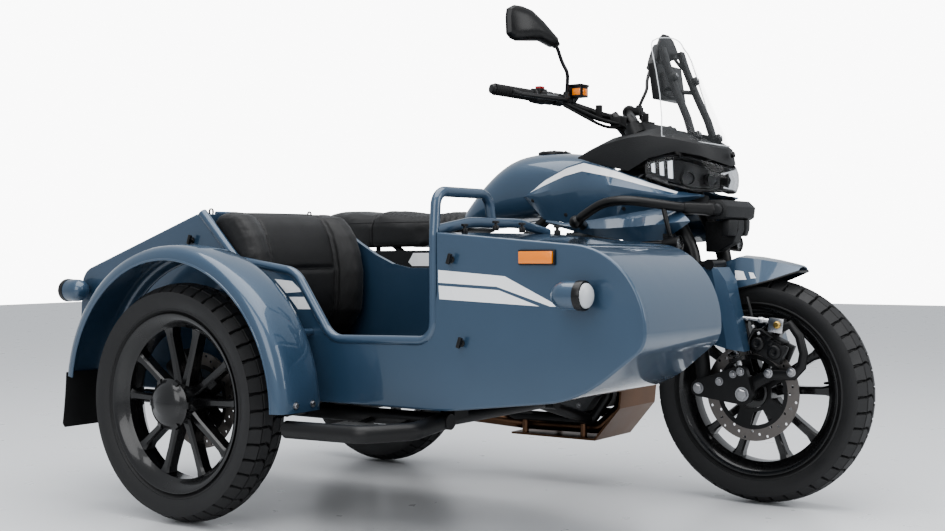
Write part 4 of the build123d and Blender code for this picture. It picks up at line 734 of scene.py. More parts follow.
@dataclass
class Wheel:
    """One wheel: a block-tread tyre, a cast rim and a drilled brake disc."""

    name: str
    centre: Vector
    hub_half: float
    disc_y: float
    disc_radius: float
    capped: bool = False
    disc_node: str = ""
    tread_radius: float = 320.0
    tread_depth: float = 10.0
    crown: float = 88.4
    rim_half: float = 52.0
    pitches: int = 44
    spoke_pairs: int = 5

    @property
    def body(self) -> str:
        """The CAD body of this wheel."""
        return self.name + "_wheel"

    def tread_height(self, y: float) -> float:
        """The tread's radius at a distance from the middle of the tyre."""
        return self.tread_radius - self.crown + math.sqrt(self.crown ** 2 - y ** 2)

    def tread_block(self, form: Form, corners: Sequence[tuple[float, float]]) -> None:
        """Add one tread block.

        Args:
            form: the form that it joins.
            corners: pairs of distance round the tyre and distance across it.
        """
        middle = (sum(corner[0] for corner in corners) / len(corners),
                  sum(corner[1] for corner in corners) / len(corners))
        rings = []
        for sink, spread in ((self.tread_depth + 3, 1.12), (1.2, 1.0), (0.0, 0.95)):
            ring = []
            for t, y in corners:
                turn = (middle[0] + (t - middle[0]) * spread) / self.tread_radius
                side = middle[1] + (y - middle[1]) * spread
                radius = self.tread_height(side) - sink
                ring.append((radius * math.cos(turn), side, radius * math.sin(turn)))
            rings.append(ring)
        form.skin(rings)

    def tyre(self) -> None:
        """Build the tyre: carcass with sidewall rings, and its tread."""
        half = [(44.5, 228.6), (44.5, 240.0), (49.0, 246.0), (54.5, 248.5), (54.5, 251.0), (53.5, 253.0),
                (60.0, 264.0),
                (63.6, 276.0), (64.6, 288.0), (62.5, 297.0),
                (57.5, self.tread_height(57.5) - self.tread_depth),
                (36.0, self.tread_height(36) - self.tread_depth),
                (0.0, self.tread_radius - self.tread_depth)]
        profile = half + [(-y, radius) for y, radius in reversed(half[:-1])]
        carcass = Form().spin(self.centre, ALONG_Y, profile, 96, closed=True)
        blocks = Form()
        pitch = 2 * math.pi * self.tread_radius / self.pitches
        inner = [(-21.0, 2.0), (13.0, 2.0), (24.0, 14.0), (21.0, 29.0), (-18.0, 29.0), (-15.0, 14.0)]
        shoulder = [(-20.0, 32.0), (19.0, 32.0), (20.0, 46.0), (16.0, 61.5), (-20.0, 61.5), (-19.0, 46.0)]
        for outline in (inner, shoulder):
            self.tread_block(blocks, outline)
            self.tread_block(blocks, [(pitch / 2 + t, -y) for t, y in outline])
        carcass.take(ring_of(blocks, TREAD, self.pitches, self.centre))
        place(self.name + "_tyre_tread", carcass.done(self.name + "_tyre_tread", 30), self.body, [TREAD],
              [self.name + "_tyre"])

    def rim(self) -> None:
        """Build the cast rim with its spoke pairs, hub and valve."""
        half = [(self.rim_half, 236.0), (self.rim_half, 239.0), (48.5, 239.0), (45.5, 236.0),
                (44.0, 228.0),
                (30.0, 224.0), (0.0, 222.0)]
        inside = [(0.0, 201.0), (22.0, 203.0), (30.0, 211.0), (self.rim_half - 4, 226.0)]
        back = [(-y, radius) for y, radius in reversed(half[:-1])]
        low = [(-y, radius) for y, radius in reversed(inside[1:])]
        form = Form().spin(self.centre, ALONG_Y, half + back + low + inside, 96, closed=True)
        pair = Form()
        for side in (1, -1):
            rings = []
            for radius, offset, wide, deep in ((38, 11, 15, 25), (70, 18, 12.5, 22), (130, 36, 11, 19),
                                               (178, 50, 12, 19),
                                               (196, 55, 17, 21), (207, 58, 27, 23)):
                corners = ((-wide, -deep * 0.7), (-wide * 0.6, -deep), (wide * 0.6, -deep),
                           (wide, -deep * 0.7),
                           (wide, deep * 0.7), (wide * 0.6, deep), (-wide * 0.6, deep),
                           (-wide, deep * 0.7))
                rings.append([(radius, y, side * offset + t) for t, y in corners])
            pair.skin(rings)
        form.take(ring_of(pair, GLOSS_BLACK, self.spoke_pairs, self.centre, math.radians(90)))
        reach = self.hub_half
        form.spin(self.centre, ALONG_Y, [(-reach, 12.5), (-reach, 40), (-reach + 4, 45), (-30, 52),
                                         (30, 52),
                                         (reach - 4, 45), (reach, 40), (reach, 12.5)], 40, closed=True)
        valve = Form().rod([(203, 6, 30), (186, 6, 28), (178, 8, 27)], (4.5, 4.0, 3.0), 8)
        form.take(ring_of(valve, GLOSS_BLACK, 1, self.centre))
        if self.capped:
            self.hub_cap(form)
        place(self.name + "_rim_cast", form.done(self.name + "_rim_cast", 34), self.body, [GLOSS_BLACK],
              [self.name + "_rim"])

    def hub_cap(self, form: Form) -> None:
        """Add the domed hub cap with its raised lugs."""
        start = -self.hub_half
        form.spin(self.centre, ALONG_Y, [(start + 2, 0), (start + 2, 66), (start - 3, 68),
                                         (start - 6, 63), (start - 15, 58),
                                         (start - 24, 45), (start - 28, 26), (start - 30, 22),
                                         (start - 30, 0)], 48)
        lug = Form().skin([[(52, start - 2, -8), (72, start - 2, -9), (72, start - 2, 9),
                            (52, start - 2, 8)],
                           [(50, start - 15, -7), (69, start - 9, -7), (69, start - 9, 7),
                            (50, start - 15, 7)]])
        form.take(ring_of(lug, GLOSS_BLACK, 6, self.centre))

    def disc(self) -> None:
        """Build the drilled brake disc on its carrier."""
        outer, inner = self.disc_radius, self.disc_radius - 36
        holes = [circle(4.2, 10, (inner + 8 + 10 * (i % 3)) * math.cos(2 * math.pi * i / 36),
                        (inner + 8 + 10 * (i % 3)) * math.sin(2 * math.pi * i / 36)) for i in range(36)]
        ring = drilled_plate([circle(outer, 72), circle(inner, 72)] + holes, 4.4)
        windows = [[((inner - 8) * math.cos(a), (inner - 8) * math.sin(a))
                    for a in (turn - 0.38, turn - 0.13, turn + 0.13, turn + 0.38)]
                   + [(58 * math.cos(a), 58 * math.sin(a)) for a in (turn + 0.26, turn - 0.26)]
                   for turn in (2 * math.pi * i / 5 for i in range(5))]
        carrier = drilled_plate([circle(inner + 3, 72), circle(46.4, 40)] + windows, 4.8)
        form = Form()
        spot = Matrix.Translation(self.centre + Vector((0, self.disc_y, 0)))
        for coat, mesh in ((0, ring), (1, carrier)):
            mesh.transform(spot)
            form.coat = coat
            form.take(mesh)
        place(self.name + "_disc_drilled", form.done(self.name + "_disc_drilled", 30), self.body,
              [DISC_STEEL, BLACK],
              [self.disc_node or self.name + "_disc"])

    def build(self) -> None:
        """Build the whole wheel."""
        self.tyre()
        self.rim()
        self.disc()


@dataclass
class CoilShock:
    """A shock absorber: damper body, rod, spring seats and coil."""

    name: str
    body: str
    foot: Spot
    head: Spot
    node: str
    coil: float = 22.0
    wire: float = 4.2
    turns: int = 8
    twin: bool = False

    def build(self) -> None:
        """Build one shock absorber, or one on each side."""
        low, high = Vector(self.foot), Vector(self.head)
        run = high - low
        along = run.normalized()
        length = run.length
        form = Form()
        form.spin(low, along, [(0, 0), (0, 8), (length * 0.5, 8), (length * 0.5, 0)], 16)
        form.coat = 1
        body = self.coil - 8
        form.spin(low, along, [(length * 0.45, 0), (length * 0.45, body), (length * 0.96, body),
                               (length * 0.96, 0)], 24)
        for far in (0.12, 0.93):
            form.spin(low, along, [(length * far - 5, 0), (length * far - 5, self.coil + 4),
                                   (length * far + 5, self.coil + 4),
                                   (length * far + 5, 0)], 28)
        side = along.orthogonal().normalized()
        other = along.cross(side)
        steps = self.turns * 20
        path = []
        for i in range(steps + 1):
            turn = 2 * math.pi * self.turns * i / steps
            path.append(low + along * length * (0.15 + 0.75 * i / steps)
                        + (side * math.cos(turn) + other * math.sin(turn)) * self.coil)
        form.coat = 2
        form.rod(path, self.wire, 8)
        if self.twin:
            form.mirror()
        place(self.name, form.done(self.name, 35), self.body, [STEEL, BLACK, GLOSS_BLACK], [self.node])


@dataclass
class FrontEnd:
    """The leading-link fork with its shields, mudguard, calliper and hoses."""

    guard: Sequence[tuple] = ((1250, 336, 40, 66, 318), (1278, 352, 56, 78, 300),
                              (1312, 367, 60, 82, 291),
                              (1346, 380, 62, 84, 289), (1400, 375, 58, 82, 302),
                              (1452, 366, 48, 70, 317),
                              (1496, 356, 34, 52, 333), (1516, 351, 24, 38, 340))
    shield: Sequence[tuple] = (
        ((1244, -152, 350), (1316, -175, 354), (1330, -171, 352), (1342, -112, 352)),
        ((1250, -154, 320), (1324, -176, 318), (1356, -168, 314), (1364, -112, 316)),
        ((1266, -156, 268), (1334, -176.5, 268), (1368, -167, 266), (1374, -114, 268)),
        ((1280, -157, 218), (1346, -176.5, 218), (1384, -166, 214), (1388, -118, 216)),
        ((1290, -158, 160), (1358, -176, 156), (1400, -164, 150), (1402, -122, 152)),
        ((1292, -158, 142), (1362, -175, 126), (1408, -163, 119), (1408, -124, 121)))

    def guard_point(self, share: float, across: float, lift: float = 0.0) -> Vector:
        """A place on the front mudguard.

        Args:
            share: from 0 at its rear end to 1 at its tip.
            across: from -1 at the right lower edge over 0 on the middle to 1 at the left lower edge.
            lift: how far outside the sheet.

        Returns:
            The place.
        """
        spot = share * (len(self.guard) - 1)
        index = min(int(spot), len(self.guard) - 2)
        x, top, ridge, side, low = (a + (b - a) * (spot - index) for a,
                                    b in zip(self.guard[index], self.guard[index + 1]))
        edge = abs(across)
        flank = (edge - 0.5) * 2
        y = ridge * edge * 2 if edge < 0.5 else ridge + (side - ridge) * flank
        z = top + 5 * (1 - edge * 2) if edge < 0.5 else top + (low - top) * flank
        return Vector((x, math.copysign(y + lift * flank, across), z + lift * (1 if edge < 0.5 else 0.4)))

    def mudguard(self) -> None:
        """Build the folded mudguard sheet, its edge trim, its brackets and its white patches."""
        across = (-1.0, -0.96, -0.75, -0.53, -0.5, -0.47, -0.25, 0.0, 0.25, 0.47, 0.5, 0.53, 0.75, 0.96,
                  1.0)
        shares = [i / 28 for i in range(29)]
        sheet = Form().skin([[self.guard_point(share, y) for y in across] for share in shares],
                            loop=False)
        place("front_guard_sheet", sheet.done("front_guard_sheet", 22, wall=4.0), "steering", [BLUE],
              ["front_mudguard"])
        trim = Form()
        trim.rod([self.guard_point(share, -1, -2) for share in shares] + [self.guard_point(share, 1, -2)
                for share in reversed(shares)], 3.2, 8)
        for side in (1, -1):
            for x, z in ((1268, 322), (1300, 330)):
                trim.rod([(x, side * 62, z), (x, side * 118, z)], 9.0, 12)
        place("front_guard_trim", trim.done("front_guard_trim"), "steering", [SMOOTH_PLASTIC])
        patches = Form()
        for side in (1, -1):
            for outline in (((0.405, 0.70), (0.482, 0.73), (0.515, 0.88), (0.425, 0.86)),
                            ((0.525, 0.75), (0.562, 0.77), (0.588, 0.88), (0.548, 0.875))):
                a, b, c, d = (Vector(corner) for corner in outline)
                grid = [[a.lerp(d, v / 4).lerp(b.lerp(c, v / 4), u / 6) for u in range(7)]
                        for v in range(5)]
                patches.skin([[self.guard_point(spot.x, side * spot.y, 0.7) for spot in row]
                              for row in grid], loop=False)
        place("front_guard_patches", patches.done("front_guard_patches", wall=0.5), "steering", [WHITE])

    def shields(self) -> None:
        """Build the folded shields over the shock absorbers."""
        form = Form().skin(self.shield, loop=False)
        form.spin((1316, -172, 152), (-0.2, -1, 0), [(-3, 0), (-3, 8), (4, 8), (6, 5), (6, 0)], 16)
        form.mirror()
        place("fork_shield_sheets", form.done("fork_shield_sheets", 14, wall=3.0), "steering", [BLUE],
              ["fork_shields"])

    def links(self) -> None:
        """Add bolts and the torque rod round the leading links."""
        bolts = Form()
        for side in (1, -1):
            for x, z, size in ((1394, 0, 15), (1262, 10, 12), (1389, 62, 9), (1326, 32, 9),
                               (1367, 54, 8)):
                hex_bolt(bolts, (x, side * 146.5, z), (0, side, 0), size, 9)
        place("link_bolts", bolts.done("link_bolts"), "steering", [ZINC])
        rod = Form()
        rod.rod([(1352, -121, 214), (1440, -119, 206)], 5.5, 12)
        rod.spin((1432, -119.2, 206.7), (1, 0.02, -0.09),
                 [(0, 0), (0, 9), (14, 9), (16, 7), (30, 7), (30, 0)], 6)
        rod.block((1486, -118, 192), (42, 26, 40), Matrix.Rotation(math.radians(6), 3, "Y"))
        rod.spin((1352, -121, 214), ALONG_Y, [(-9, 0), (-9, 12), (9, 12), (9, 0)], 18)
        rod.coat = 1
        rod.spin((1491, -131, 194), (0, -1, 0), [(0, 0), (0, 11), (6, 10), (8, 7), (8, 0)], 16)
        place("torque_rod", rod.done("torque_rod", 32, bevel=1.0), "steering", [STEEL, BRASS])

    def calliper(self) -> None:
        """Build the front brake calliper, its looped carrier and its hose fittings."""
        form = Form()
        turn = Matrix.Rotation(math.radians(24), 3, "Y")
        middle = Vector((1452, -74, 128))
        for y in (-103.0, -51.0):
            form.block((middle.x, y, middle.z), (104, 24, 52), turn)
        form.block(middle + turn @ Vector((0, -3, 25)), (64, 62, 12), turn)
        for x in (-28, 26):
            spot = Vector((middle.x, -115, middle.z)) + turn @ Vector((x, 0, 0))
            form.spin(spot, (0, -1, 0), [(-2, 0), (-2, 21), (5, 20), (8, 15), (8, 8), (5, 7), (5, 0)], 28)
            form.block(Vector((middle.x, -112, middle.z)) + turn @ Vector((x * 0.2, 0, 24 - x * 0.2)),
                       (14, 10, 18), turn)
        loop = [(1486, 176), (1524, 196), (1550, 164), (1562, 118), (1556, 82), (1534, 58), (1470, 56),
                (1418, 30), (1396, 4)]
        wide = (12, 13, 13, 13, 14, 15, 17, 20, 24)
        rings = []
        for index, (x, z) in enumerate(loop):
            back, ahead = loop[max(index - 1, 0)], loop[min(index + 1, len(loop) - 1)]
            run = Vector((ahead[0] - back[0], 0, ahead[1] - back[1])).normalized()
            side = Vector((run.z, 0, -run.x)) * wide[index]
            spot = Vector((x, 0, z))
            rings.append([Vector((0, y, 0)) + spot + side * s for y,
                          s in ((-128, -0.8), (-131, 0.0), (-128, 0.8), (-120, 1.0), (-116, 0.8),
                                                                         (-116, -0.8), (-120, -1.0))])
        form.skin(rings)
        form.rod([(1430, -112, 160), (1414, -116, 196), (1404, -112, 236), (1392, -104, 268)], 5.0, 10)
        form.rod([(1470, -112, 158), (1440, -122, 180), (1420, -126, 176), (1404, -122, 150),
                  (1400, -118, 110)], 4.5, 10)
        form.coat = 1
        for x, z in ((1464, 60), (1530, 66)):
            hex_bolt(form, (x, -130, z), (0, -1, 0), 10, 7)
        for x, z in ((1416, 186), (1432, 168), (1398, 208)):
            form.spin((x, -118, z), (0.3, -1, 0.2), [(0, 0), (0, 6), (8, 5), (8, 0)], 10)
        place("front_calliper_body", form.done("front_calliper_body", 34, bevel=2.0), "steering",
              [BLACK, ZINC], ["front_calliper"])

    def build(self) -> None:
        """Build the whole front end."""
        foot = (FRONT_AXLE.x - 5, 137, 62)
        CoilShock("front_coil_shocks", "steering", foot, (FRONT_AXLE.x - 85, 137, 345), "front_shocks",
                  twin=True).build()
        self.mudguard()
        self.shields()
        self.links()
        self.calliper()


CLOTH_FRAMES = 9


def plump(mesh: bpy.types.Mesh, cap: float, voxel: float = 5.0, pressure: float = 4.0) -> bpy.types.Mesh:
    """Swell a pad with a cloth run, so that its cover stands out between its edges.

    Args:
        mesh: the pad in the frame's metres.
        cap: how far in millimetres a point may move.
        voxel: the size of the even faces that it is remade with.
        pressure: the air pressure inside.
    """
    name = mesh.name
    holder = bpy.data.objects.new(name, mesh)
    even = holder.modifiers.new("even", "REMESH")
    even.mode = "VOXEL"
    even.voxel_size = voxel * MM
    rest = settled(holder, name)
    pad = bpy.data.objects.new(name, rest)
    bpy.context.scene.collection.objects.link(pad)
    cover = pad.modifiers.new("cover", "CLOTH")
    cover.settings.quality = 4
    cover.settings.use_pressure = True
    cover.settings.uniform_pressure_force = pressure
    cover.settings.effector_weights.gravity = 0.0
    cover.point_cache.frame_end = CLOTH_FRAMES
    for step in range(1, CLOTH_FRAMES + 1):
        bpy.context.scene.frame_set(step)
    view = bpy.context.evaluated_depsgraph_get()
    swollen = bpy.data.meshes.new_from_object(pad.evaluated_get(view), depsgraph=view)
    for vertex, start in zip(swollen.vertices, rest.vertices):
        move = vertex.co - start.co
        if move.length > cap * MM:
            vertex.co = start.co + move.normalized() * cap * MM
    pad.modifiers.clear()
    bpy.data.objects.remove(pad)
    bpy.context.scene.frame_set(1)
    shade(swollen, 60)
    return swollen


def half_ring(x: float, side: Sequence[tuple[float, float]]) -> list[Spot]:
    """A closed cross-section at x, from its left half given from the top middle to the bottom middle."""
    return [(x, y, z) for y, z in side] + [(x, -y, z) for y, z in reversed(side[1:-1])]


@dataclass
class Tank:
    """The fuel tank, its side panels with their stripe, and the wings below them."""

    stations: Sequence[tuple] = (
        (398, ((0, 520), (48, 518), (86, 508), (97, 490), (94, 478), (70, 471), (0, 470))),
        (440, ((0, 570), (62, 565), (108, 540), (124, 508), (120, 488), (92, 474), (0, 471))),
        (500, ((0, 634), (82, 625), (132, 586), (147, 534), (139, 500), (104, 478), (0, 474))),
        (590, ((0, 700), (90, 691), (144, 643), (153, 572), (147, 520), (112, 486), (0, 482))),
        (680, ((0, 710), (92, 702), (147, 655), (153, 582), (149, 528), (116, 494), (0, 490))),
        (780, ((0, 707), (90, 700), (145, 655), (153, 588), (149, 538), (116, 508), (0, 502))),
        (850, ((0, 694), (82, 687), (128, 650), (139, 596), (135, 560), (108, 536), (0, 530))),
        (884, ((0, 674), (72, 668), (110, 640), (120, 602), (116, 578), (94, 562), (0, 558))))
    panel: Sequence[tuple] = ((690, 576, 558, 166), (760, 618, 496, 178), (841, 652, 484, 188),
                              (905, 666, 487, 194),
                              (1015, 636, 500, 199), (1110, 601, 514, 190), (1199, 568, 530, 165),
                              (1264, 558, 551, 131))
    wing: Sequence[tuple] = ((770, 494, 166, 489, 170, 484, 164), (841, 484, 175, 476, 184, 466, 172),
                             (905, 487, 181, 466, 198, 451, 182), (1000, 499, 186, 464, 214, 436, 192),
                             (1100, 514, 177, 468, 222, 424, 196), (1180, 527, 158, 474, 216, 430, 190),
                             (1230, 504, 172, 480, 194, 464, 178), (1253, 484, 180, 482, 182, 480, 176))

    def tank(self) -> None:
        """Build the tank body and its filler cap."""
        form = Form().skin([half_ring(x, side) for x, side in self.stations])
        place("tank_shell", form.done("tank_shell", 50, levels=2), "chassis", [BLUE], ["fuel_tank"])
        cap = Form().spin((700, 0, 703), (0.02, 0, 1), [(0, 0), (0, 52), (6, 52), (9, 48), (10, 30),
                                                        (12, 28), (12, 0)], 40)
        bolt = Form().spin((40, 9, 0), ALONG_Y, [(0, 0), (0, 4), (2.5, 4), (2.5, 0)], 8)
        screws = ring_of(bolt, ZINC, 6, (0, 0, 0))
        screws.transform(Matrix.Translation((700, 0, 703)) @ Matrix.Rotation(math.radians(90), 4, "X"))
        cap.take(screws)
        place("filler_cap", cap.done("filler_cap", 30), "chassis", [SMOOTH_PLASTIC])

    def panel_point(self, share: float, height: float, lift: float = 0.0) -> Vector:
        """A place on the right-hand side panel.

        Args:
            share: from 0 at its rear end to 1 at its front tip.
            height: from 0 at its top edge to 1 at its bottom edge.
            lift: how far outside the sheet.

        Returns:
            The place.
        """
        spot = share * (len(self.panel) - 1)
        index = min(int(spot), len(self.panel) - 2)
        low, high = self.panel[index], self.panel[index + 1]
        x, top, bottom, wide = (a + (b - a) * (spot - index) for a, b in zip(low, high))
        lean = 26 * max(0.0, 0.34 - height) / 0.34 + 14 * max(0.0, height - 0.5) / 0.5
        return Vector((x, -(wide - lean + lift), top + (bottom - top) * height))

    def panels(self) -> None:
        """Build the side panels, the wings below them and the stripe."""
        heights = (0.0, 0.06, 0.17, 0.34, 0.5, 0.75, 0.94, 1.0)
        shares = [i / 28 for i in range(29)]
        form = Form().skin([[self.panel_point(share, height) for height in heights] for share in shares],
                           loop=False)
        form.skin([[(x, -top_y, top), (x, -mid_y, mid), (x, -low_y, low)]
                   for x, top, top_y, mid, mid_y, low, low_y in self.wing], loop=False)
        form.mirror()
        place("tank_side_panels", form.done("tank_side_panels", 28, wall=6.0), "chassis", [BLUE],
              ["tank_panels"])
        stripe = Form()
        rows = [[self.panel_point(share, height, 0.8) for height in (0.03, 0.10, 0.17)]
                for share in shares[1:25]]
        stripe.skin(rows, loop=False)
        stripe.mirror()
        place("tank_stripe", stripe.done("tank_stripe", 40, wall=0.6), "chassis", [WHITE])
        screws = Form()
        for share, height in ((0.07, 0.62), (0.30, 0.86), (0.62, 0.86)):
            spot = self.panel_point(share, height)
            screws.spin(spot, (0, -1, 0), [(0, 0), (0, 6), (2, 5.4), (2.4, 2), (1, 1.6), (1, 0)], 14)
        screws.mirror()
        place("tank_panel_screws", screws.done("tank_panel_screws"), "chassis", [BLACK])

    def build(self) -> None:
        """Build the tank and its panels."""
        self.tank()
        self.panels()


@dataclass
class FrontCowl:
    """The dark cowl round the headlight, the lamp itself, the screen's spine and display, and the beak."""

    rail: Sequence[tuple] = ((868, 140, 682, 677), (965, 174, 714, 652), (1060, 183, 731, 630),
                             (1125, 182, 735, 664),
                             (1196, 156, 722, 682), (1250, 108, 708, 668), (1280, 52, 700, 650),
                             (1288, 0, 698, 642))
    lamp: Sequence[tuple] = ((1117, 178, 660, 613), (1180, 160, 674, 588), (1240, 124, 664, 570),
                             (1284, 70, 648, 567),
                             (1306, 30, 638, 568), (1310, 0, 635, 569))
    screen_levels: Sequence[tuple] = ((1284, 702, 1160, 726, 166), (1266, 738, 1160, 752, 167),
                                      (1248, 775, 1158, 782, 162),
                                      (1214, 850, 1146, 850, 150), (1180, 925, 1128, 920, 138),
                                      (1146, 988, 1112, 976, 130),
                                      (1126, 1016, 1104, 1000, 120), (1118, 1026, 1100, 1012, 104),
                                      (1115, 1030, 1104, 1022, 80))

    @staticmethod
    def wrap(stations: Sequence[tuple], rows: Callable[[float, float, float, float],
                                                       list[Spot]]) -> list[list[Spot]]:
        """Rows of places round the front, from the right side to the left.

        Args:
            stations: x, half width, top and bottom of the right half, from the back to the middle.
            rows: gives one row of places for a station on the left side.

        Returns:
            The rows, right side first.
        """
        left = [rows(*station) for station in stations]
        right = [[(x, -y, z) for x, y, z in row] for row in left]
        return right + list(reversed(left[:-1]))

    def cowl(self) -> None:
        """Build the cowl shell with its crease and turned-in edges."""
        def row(x: float, y: float, top: float, low: float) -> list[Spot]:
            """One row of the shell from its inner edge round to its turned-in lip."""
            crease = top * 0.45 + low * 0.55
            front = max(0.0, (x - 1190) / 100)
            return [(x - 26 * front, y * (0.56 + 0.1 * front), top + 22 - 12 * front),
                    (x - 8 * front, y * 0.96, top),
                    (x, y, top - 5), (x + 5 * front, y + 3, crease), (x + 12 * front, y - 1, low),
                    (x - 10, max(0.0, y - 20), low + 4)]
        form = Form().skin(self.wrap(self.rail, row), loop=False)
        place("cowl_shell", form.done("cowl_shell", 28, wall=4.0), "chassis", [PLASTIC], ["front_cowl"])
        sensor = Form().spin((1306, 0, 676), (1, 0, 0.1),
                             [(-6, 0), (-6, 9), (2, 9), (3, 7), (2, 6), (2, 0)], 20)
        place("cowl_sensor", sensor.done("cowl_sensor"), "chassis", [SMOOTH_PLASTIC])

    def headlight(self) -> None:
        """Build the headlight: dark housing, reflectors, lenses, light bars and clear cover."""
        def hollow(x: float, y: float, top: float, low: float) -> list[Spot]:
            """One row of the dark trough behind the cover."""
            ahead = max(0.0, (x - 1200) / 110)
            deep = 10 + 34 * ahead
            inside = max(0.0, y - 10 - 26 * ahead)
            return [(x - 4, y * 0.98, top + 1), (x - 6, y * 0.96, top - 5), (x - deep, inside, top - 12),
                    (x - deep, inside, low + 12), (x - 6, y * 0.96, low + 5), (x - 4, y * 0.98, low - 1)]
        housing = Form().skin(self.wrap(self.lamp, hollow), loop=False)
        place("headlight_housing", housing.done("headlight_housing", 30, wall=3.0), "chassis",
              [SMOOTH_PLASTIC], ["headlight"])

        def front(x: float, y: float, top: float, low: float) -> list[Spot]:
            """One row of the clear cover, a little proud of the trough."""
            return [(x - 3, y * 0.985, top), (x + 3, y * 1.01, top * 0.75 + low * 0.25),
                    (x + 4, y * 1.015, (top + low) / 2),
                    (x + 3, y * 1.01, top * 0.25 + low * 0.75), (x - 3, y * 0.985, low)]
        cover = Form().skin(self.wrap(self.lamp, front), loop=False)
        place("headlight_cover", cover.done("headlight_cover", 40, wall=2.5), "chassis", [LENS])
        units = Form()
        glass = Form()
        for side in (1, -1):
            for x, y, z, out, size in ((1262, 52, 604, (1, side * 0.3, 0), 17),
                                       (1216, 112, 606, (0.8, side * 0.55, 0), 18)):
                spot = (x, side * y, z)
                units.coat = 0
                units.spin(spot, out, [(-26, 0), (-26, size * 0.6), (0, size + 3), (5, size + 5),
                                       (5, size), (-2, size - 1)], 32)
                units.coat = 1
                units.spin(spot, out, [(-2, size - 1), (-16, size * 0.5), (-16, 0)], 32)
                glass.spin(spot, out, [(-4, 0), (-4, size - 1), (2, size - 2), (8, size * 0.66),
                                       (11, size * 0.3), (12, 0)], 28)
        place("headlight_units", units.done("headlight_units", 40), "chassis",
              [SMOOTH_PLASTIC, REFLECTOR])
        place("headlight_lenses", glass.done("headlight_lenses", 60), "chassis", [LENS])
        bars = Form()
        for side in (1, -1):
            for step in range(3):
                x, y = 1128 + step * 22, 170 - step * 8
                wide = 8 + step * 2
                bars.slab([(x, side * y, 648 + step * 3), (x + wide, side * (y - 3), 651 + step * 3),
                           (x + wide + 2, side * (y - 3), 622 - step * 9),
                           (x + 2, side * y, 625 - step * 9)], (0, -side * 5, 0))
        place("headlight_bars", bars.done("headlight_bars"), "chassis", [LIGHT_BAR])

    def beak(self) -> None:
        """Build the beak under the bumper block."""
        keel = [(1226, 484), (1330, 487), (1330, 458), (1314, 420), (1262, 393), (1228, 395)]
        form = Form()
        form.skin([[(x, y, z) for x, z in keel] for y in (-24, -18, 18, 24)])
        for side in (1, -1):
            cheek = [(1303, 30, 487), (1334, 30, 487), (1326, 74, 487), (1303, 74, 487)]
            form.skin([[(x, side * y, z) for x, y, z in cheek],
                       [(x - 1, side * y, 462) for x, y, z in cheek],
                       [(x - 6, side * y * 0.95, 440) for x, y, z in cheek]])
        place("beak_shell", form.done("beak_shell", 26, bevel=4.0), "chassis", [PLASTIC], ["front_beak"])

    def screen_row(self, level: tuple, lift: float = 0.0) -> list[Vector]:
        """One row of the screen, from its right edge to its left.

        Args:
            level: x and z on the middle, x and z at the edge, and half the width.
            lift: how far ahead of the sheet.

        Returns:
            The row's places.
        """
        mid_x, mid_z, edge_x, edge_z, half = level
        shares = [i / 8 - 1 for i in range(17)]
        return [Vector((mid_x + (edge_x - mid_x) * s * s + lift, half * s,
                        mid_z + (edge_z - mid_z) * s * s)) for s in shares]

    def screen(self) -> None:
        """Build the clear screen, a pale rod round its edge that paints the edge's highlight, and the dark
        visor behind its top.
        """
        rows = [self.screen_row(level) for level in self.screen_levels]
        sheet = Form().skin(rows, loop=False)
        place("screen_sheet", sheet.done("screen_sheet", 60, wall=4.0), "chassis", [SCREEN],
              ["windscreen"])
        # A pale rod round the screen's border paints the highlight along its edge.
        edge = Form()
        border = [row[0] for row in rows] + rows[-1][1:-1] + [row[-1] for row in reversed(rows)]
        edge.rod(border, 1.7, 6)
        edge.rod(rows[0], 1.7, 6)
        place("screen_rim", edge.done("screen_rim"), "chassis", [SCREEN_EDGE_HIGHLIGHT])
        visor = [(-74, 962), (-66, 1000), (-42, 1030), (-16, 1044), (16, 1044), (42, 1030), (66, 1000),
                 (74, 978), (40, 972), (0, 958), (-40, 950)]
        plate = Form().slab([(1084 + 0.1 * abs(y), y, z) for y, z in visor], (7, 0, 0))
        for side in (1, -1):
            plate.rod([(1088, side * 40, 990), (1104, side * 58, 960), (1116, side * 62, 946)], 5.0, 10)
        place("screen_visor", plate.done("screen_visor", 30, bevel=1.5), "chassis", [SMOOTH_PLASTIC])

    def bumper(self) -> None:
        """Build the crash bars with their ball ends and sleeves, and the bumper between them."""
        form = Form()
        foot = Vector((HEAD.x - 100, 152, HEAD.z - 262))
        form.rod(smooth_run([foot, (HEAD.x - 74, 262, HEAD.z - 246), (HEAD.x - 34, 263, HEAD.z - 220),
                             (HEAD.x + 20, 264, HEAD.z - 192),
                             (HEAD.x + 92, 260, HEAD.z - 186), (HEAD.x + 170, 212, HEAD.z - 200),
                             (HEAD.x + 238, 156, HEAD.z - 212),
                             (HEAD.x + 288, 70, HEAD.z - 215)]), 14.0, 18)
        knee = Vector((HEAD.x - 76, 258, HEAD.z - 246))
        form.spin(knee, (-0.3, 0.9, -0.3), [(-16, 0), (-16, 15), (-6, 19), (6, 19), (15, 13), (19, 0)],
                  24)
        form.rod([(HEAD.x + 178, 205, HEAD.z - 204), (HEAD.x + 200, 205, HEAD.z - 292)], 7.0, 12)
        start = Vector((HEAD.x + 222, 168, HEAD.z - 209))
        along = (Vector((HEAD.x + 283, 98, HEAD.z - 214)) - start).normalized()
        form.spin(start, along, [(0, 13), (0, 16), (12, 18), (70, 19), (78, 21), (96, 21), (96, 13)], 8,
                  closed=True)
        form.mirror()
        form.coat = 1
        profile = [(1272, 494), (1268, 516), (1276, 543), (1314, 543), (1334, 524), (1330, 494),
                   (1318, 487), (1282, 487)]
        form.skin([[(x - back, y, z) for x, z in profile] for y,
                   back in ((-100, 3), (-84, 1), (-50, 0), (50, 0), (84, 1), (100, 3))])
        for side in (1, -1):
            form.spin((1302, side * 100, 515), (0, side, 0),
                      [(-6, 0), (-6, 17), (10, 17), (15, 13), (15, 0)], 24)
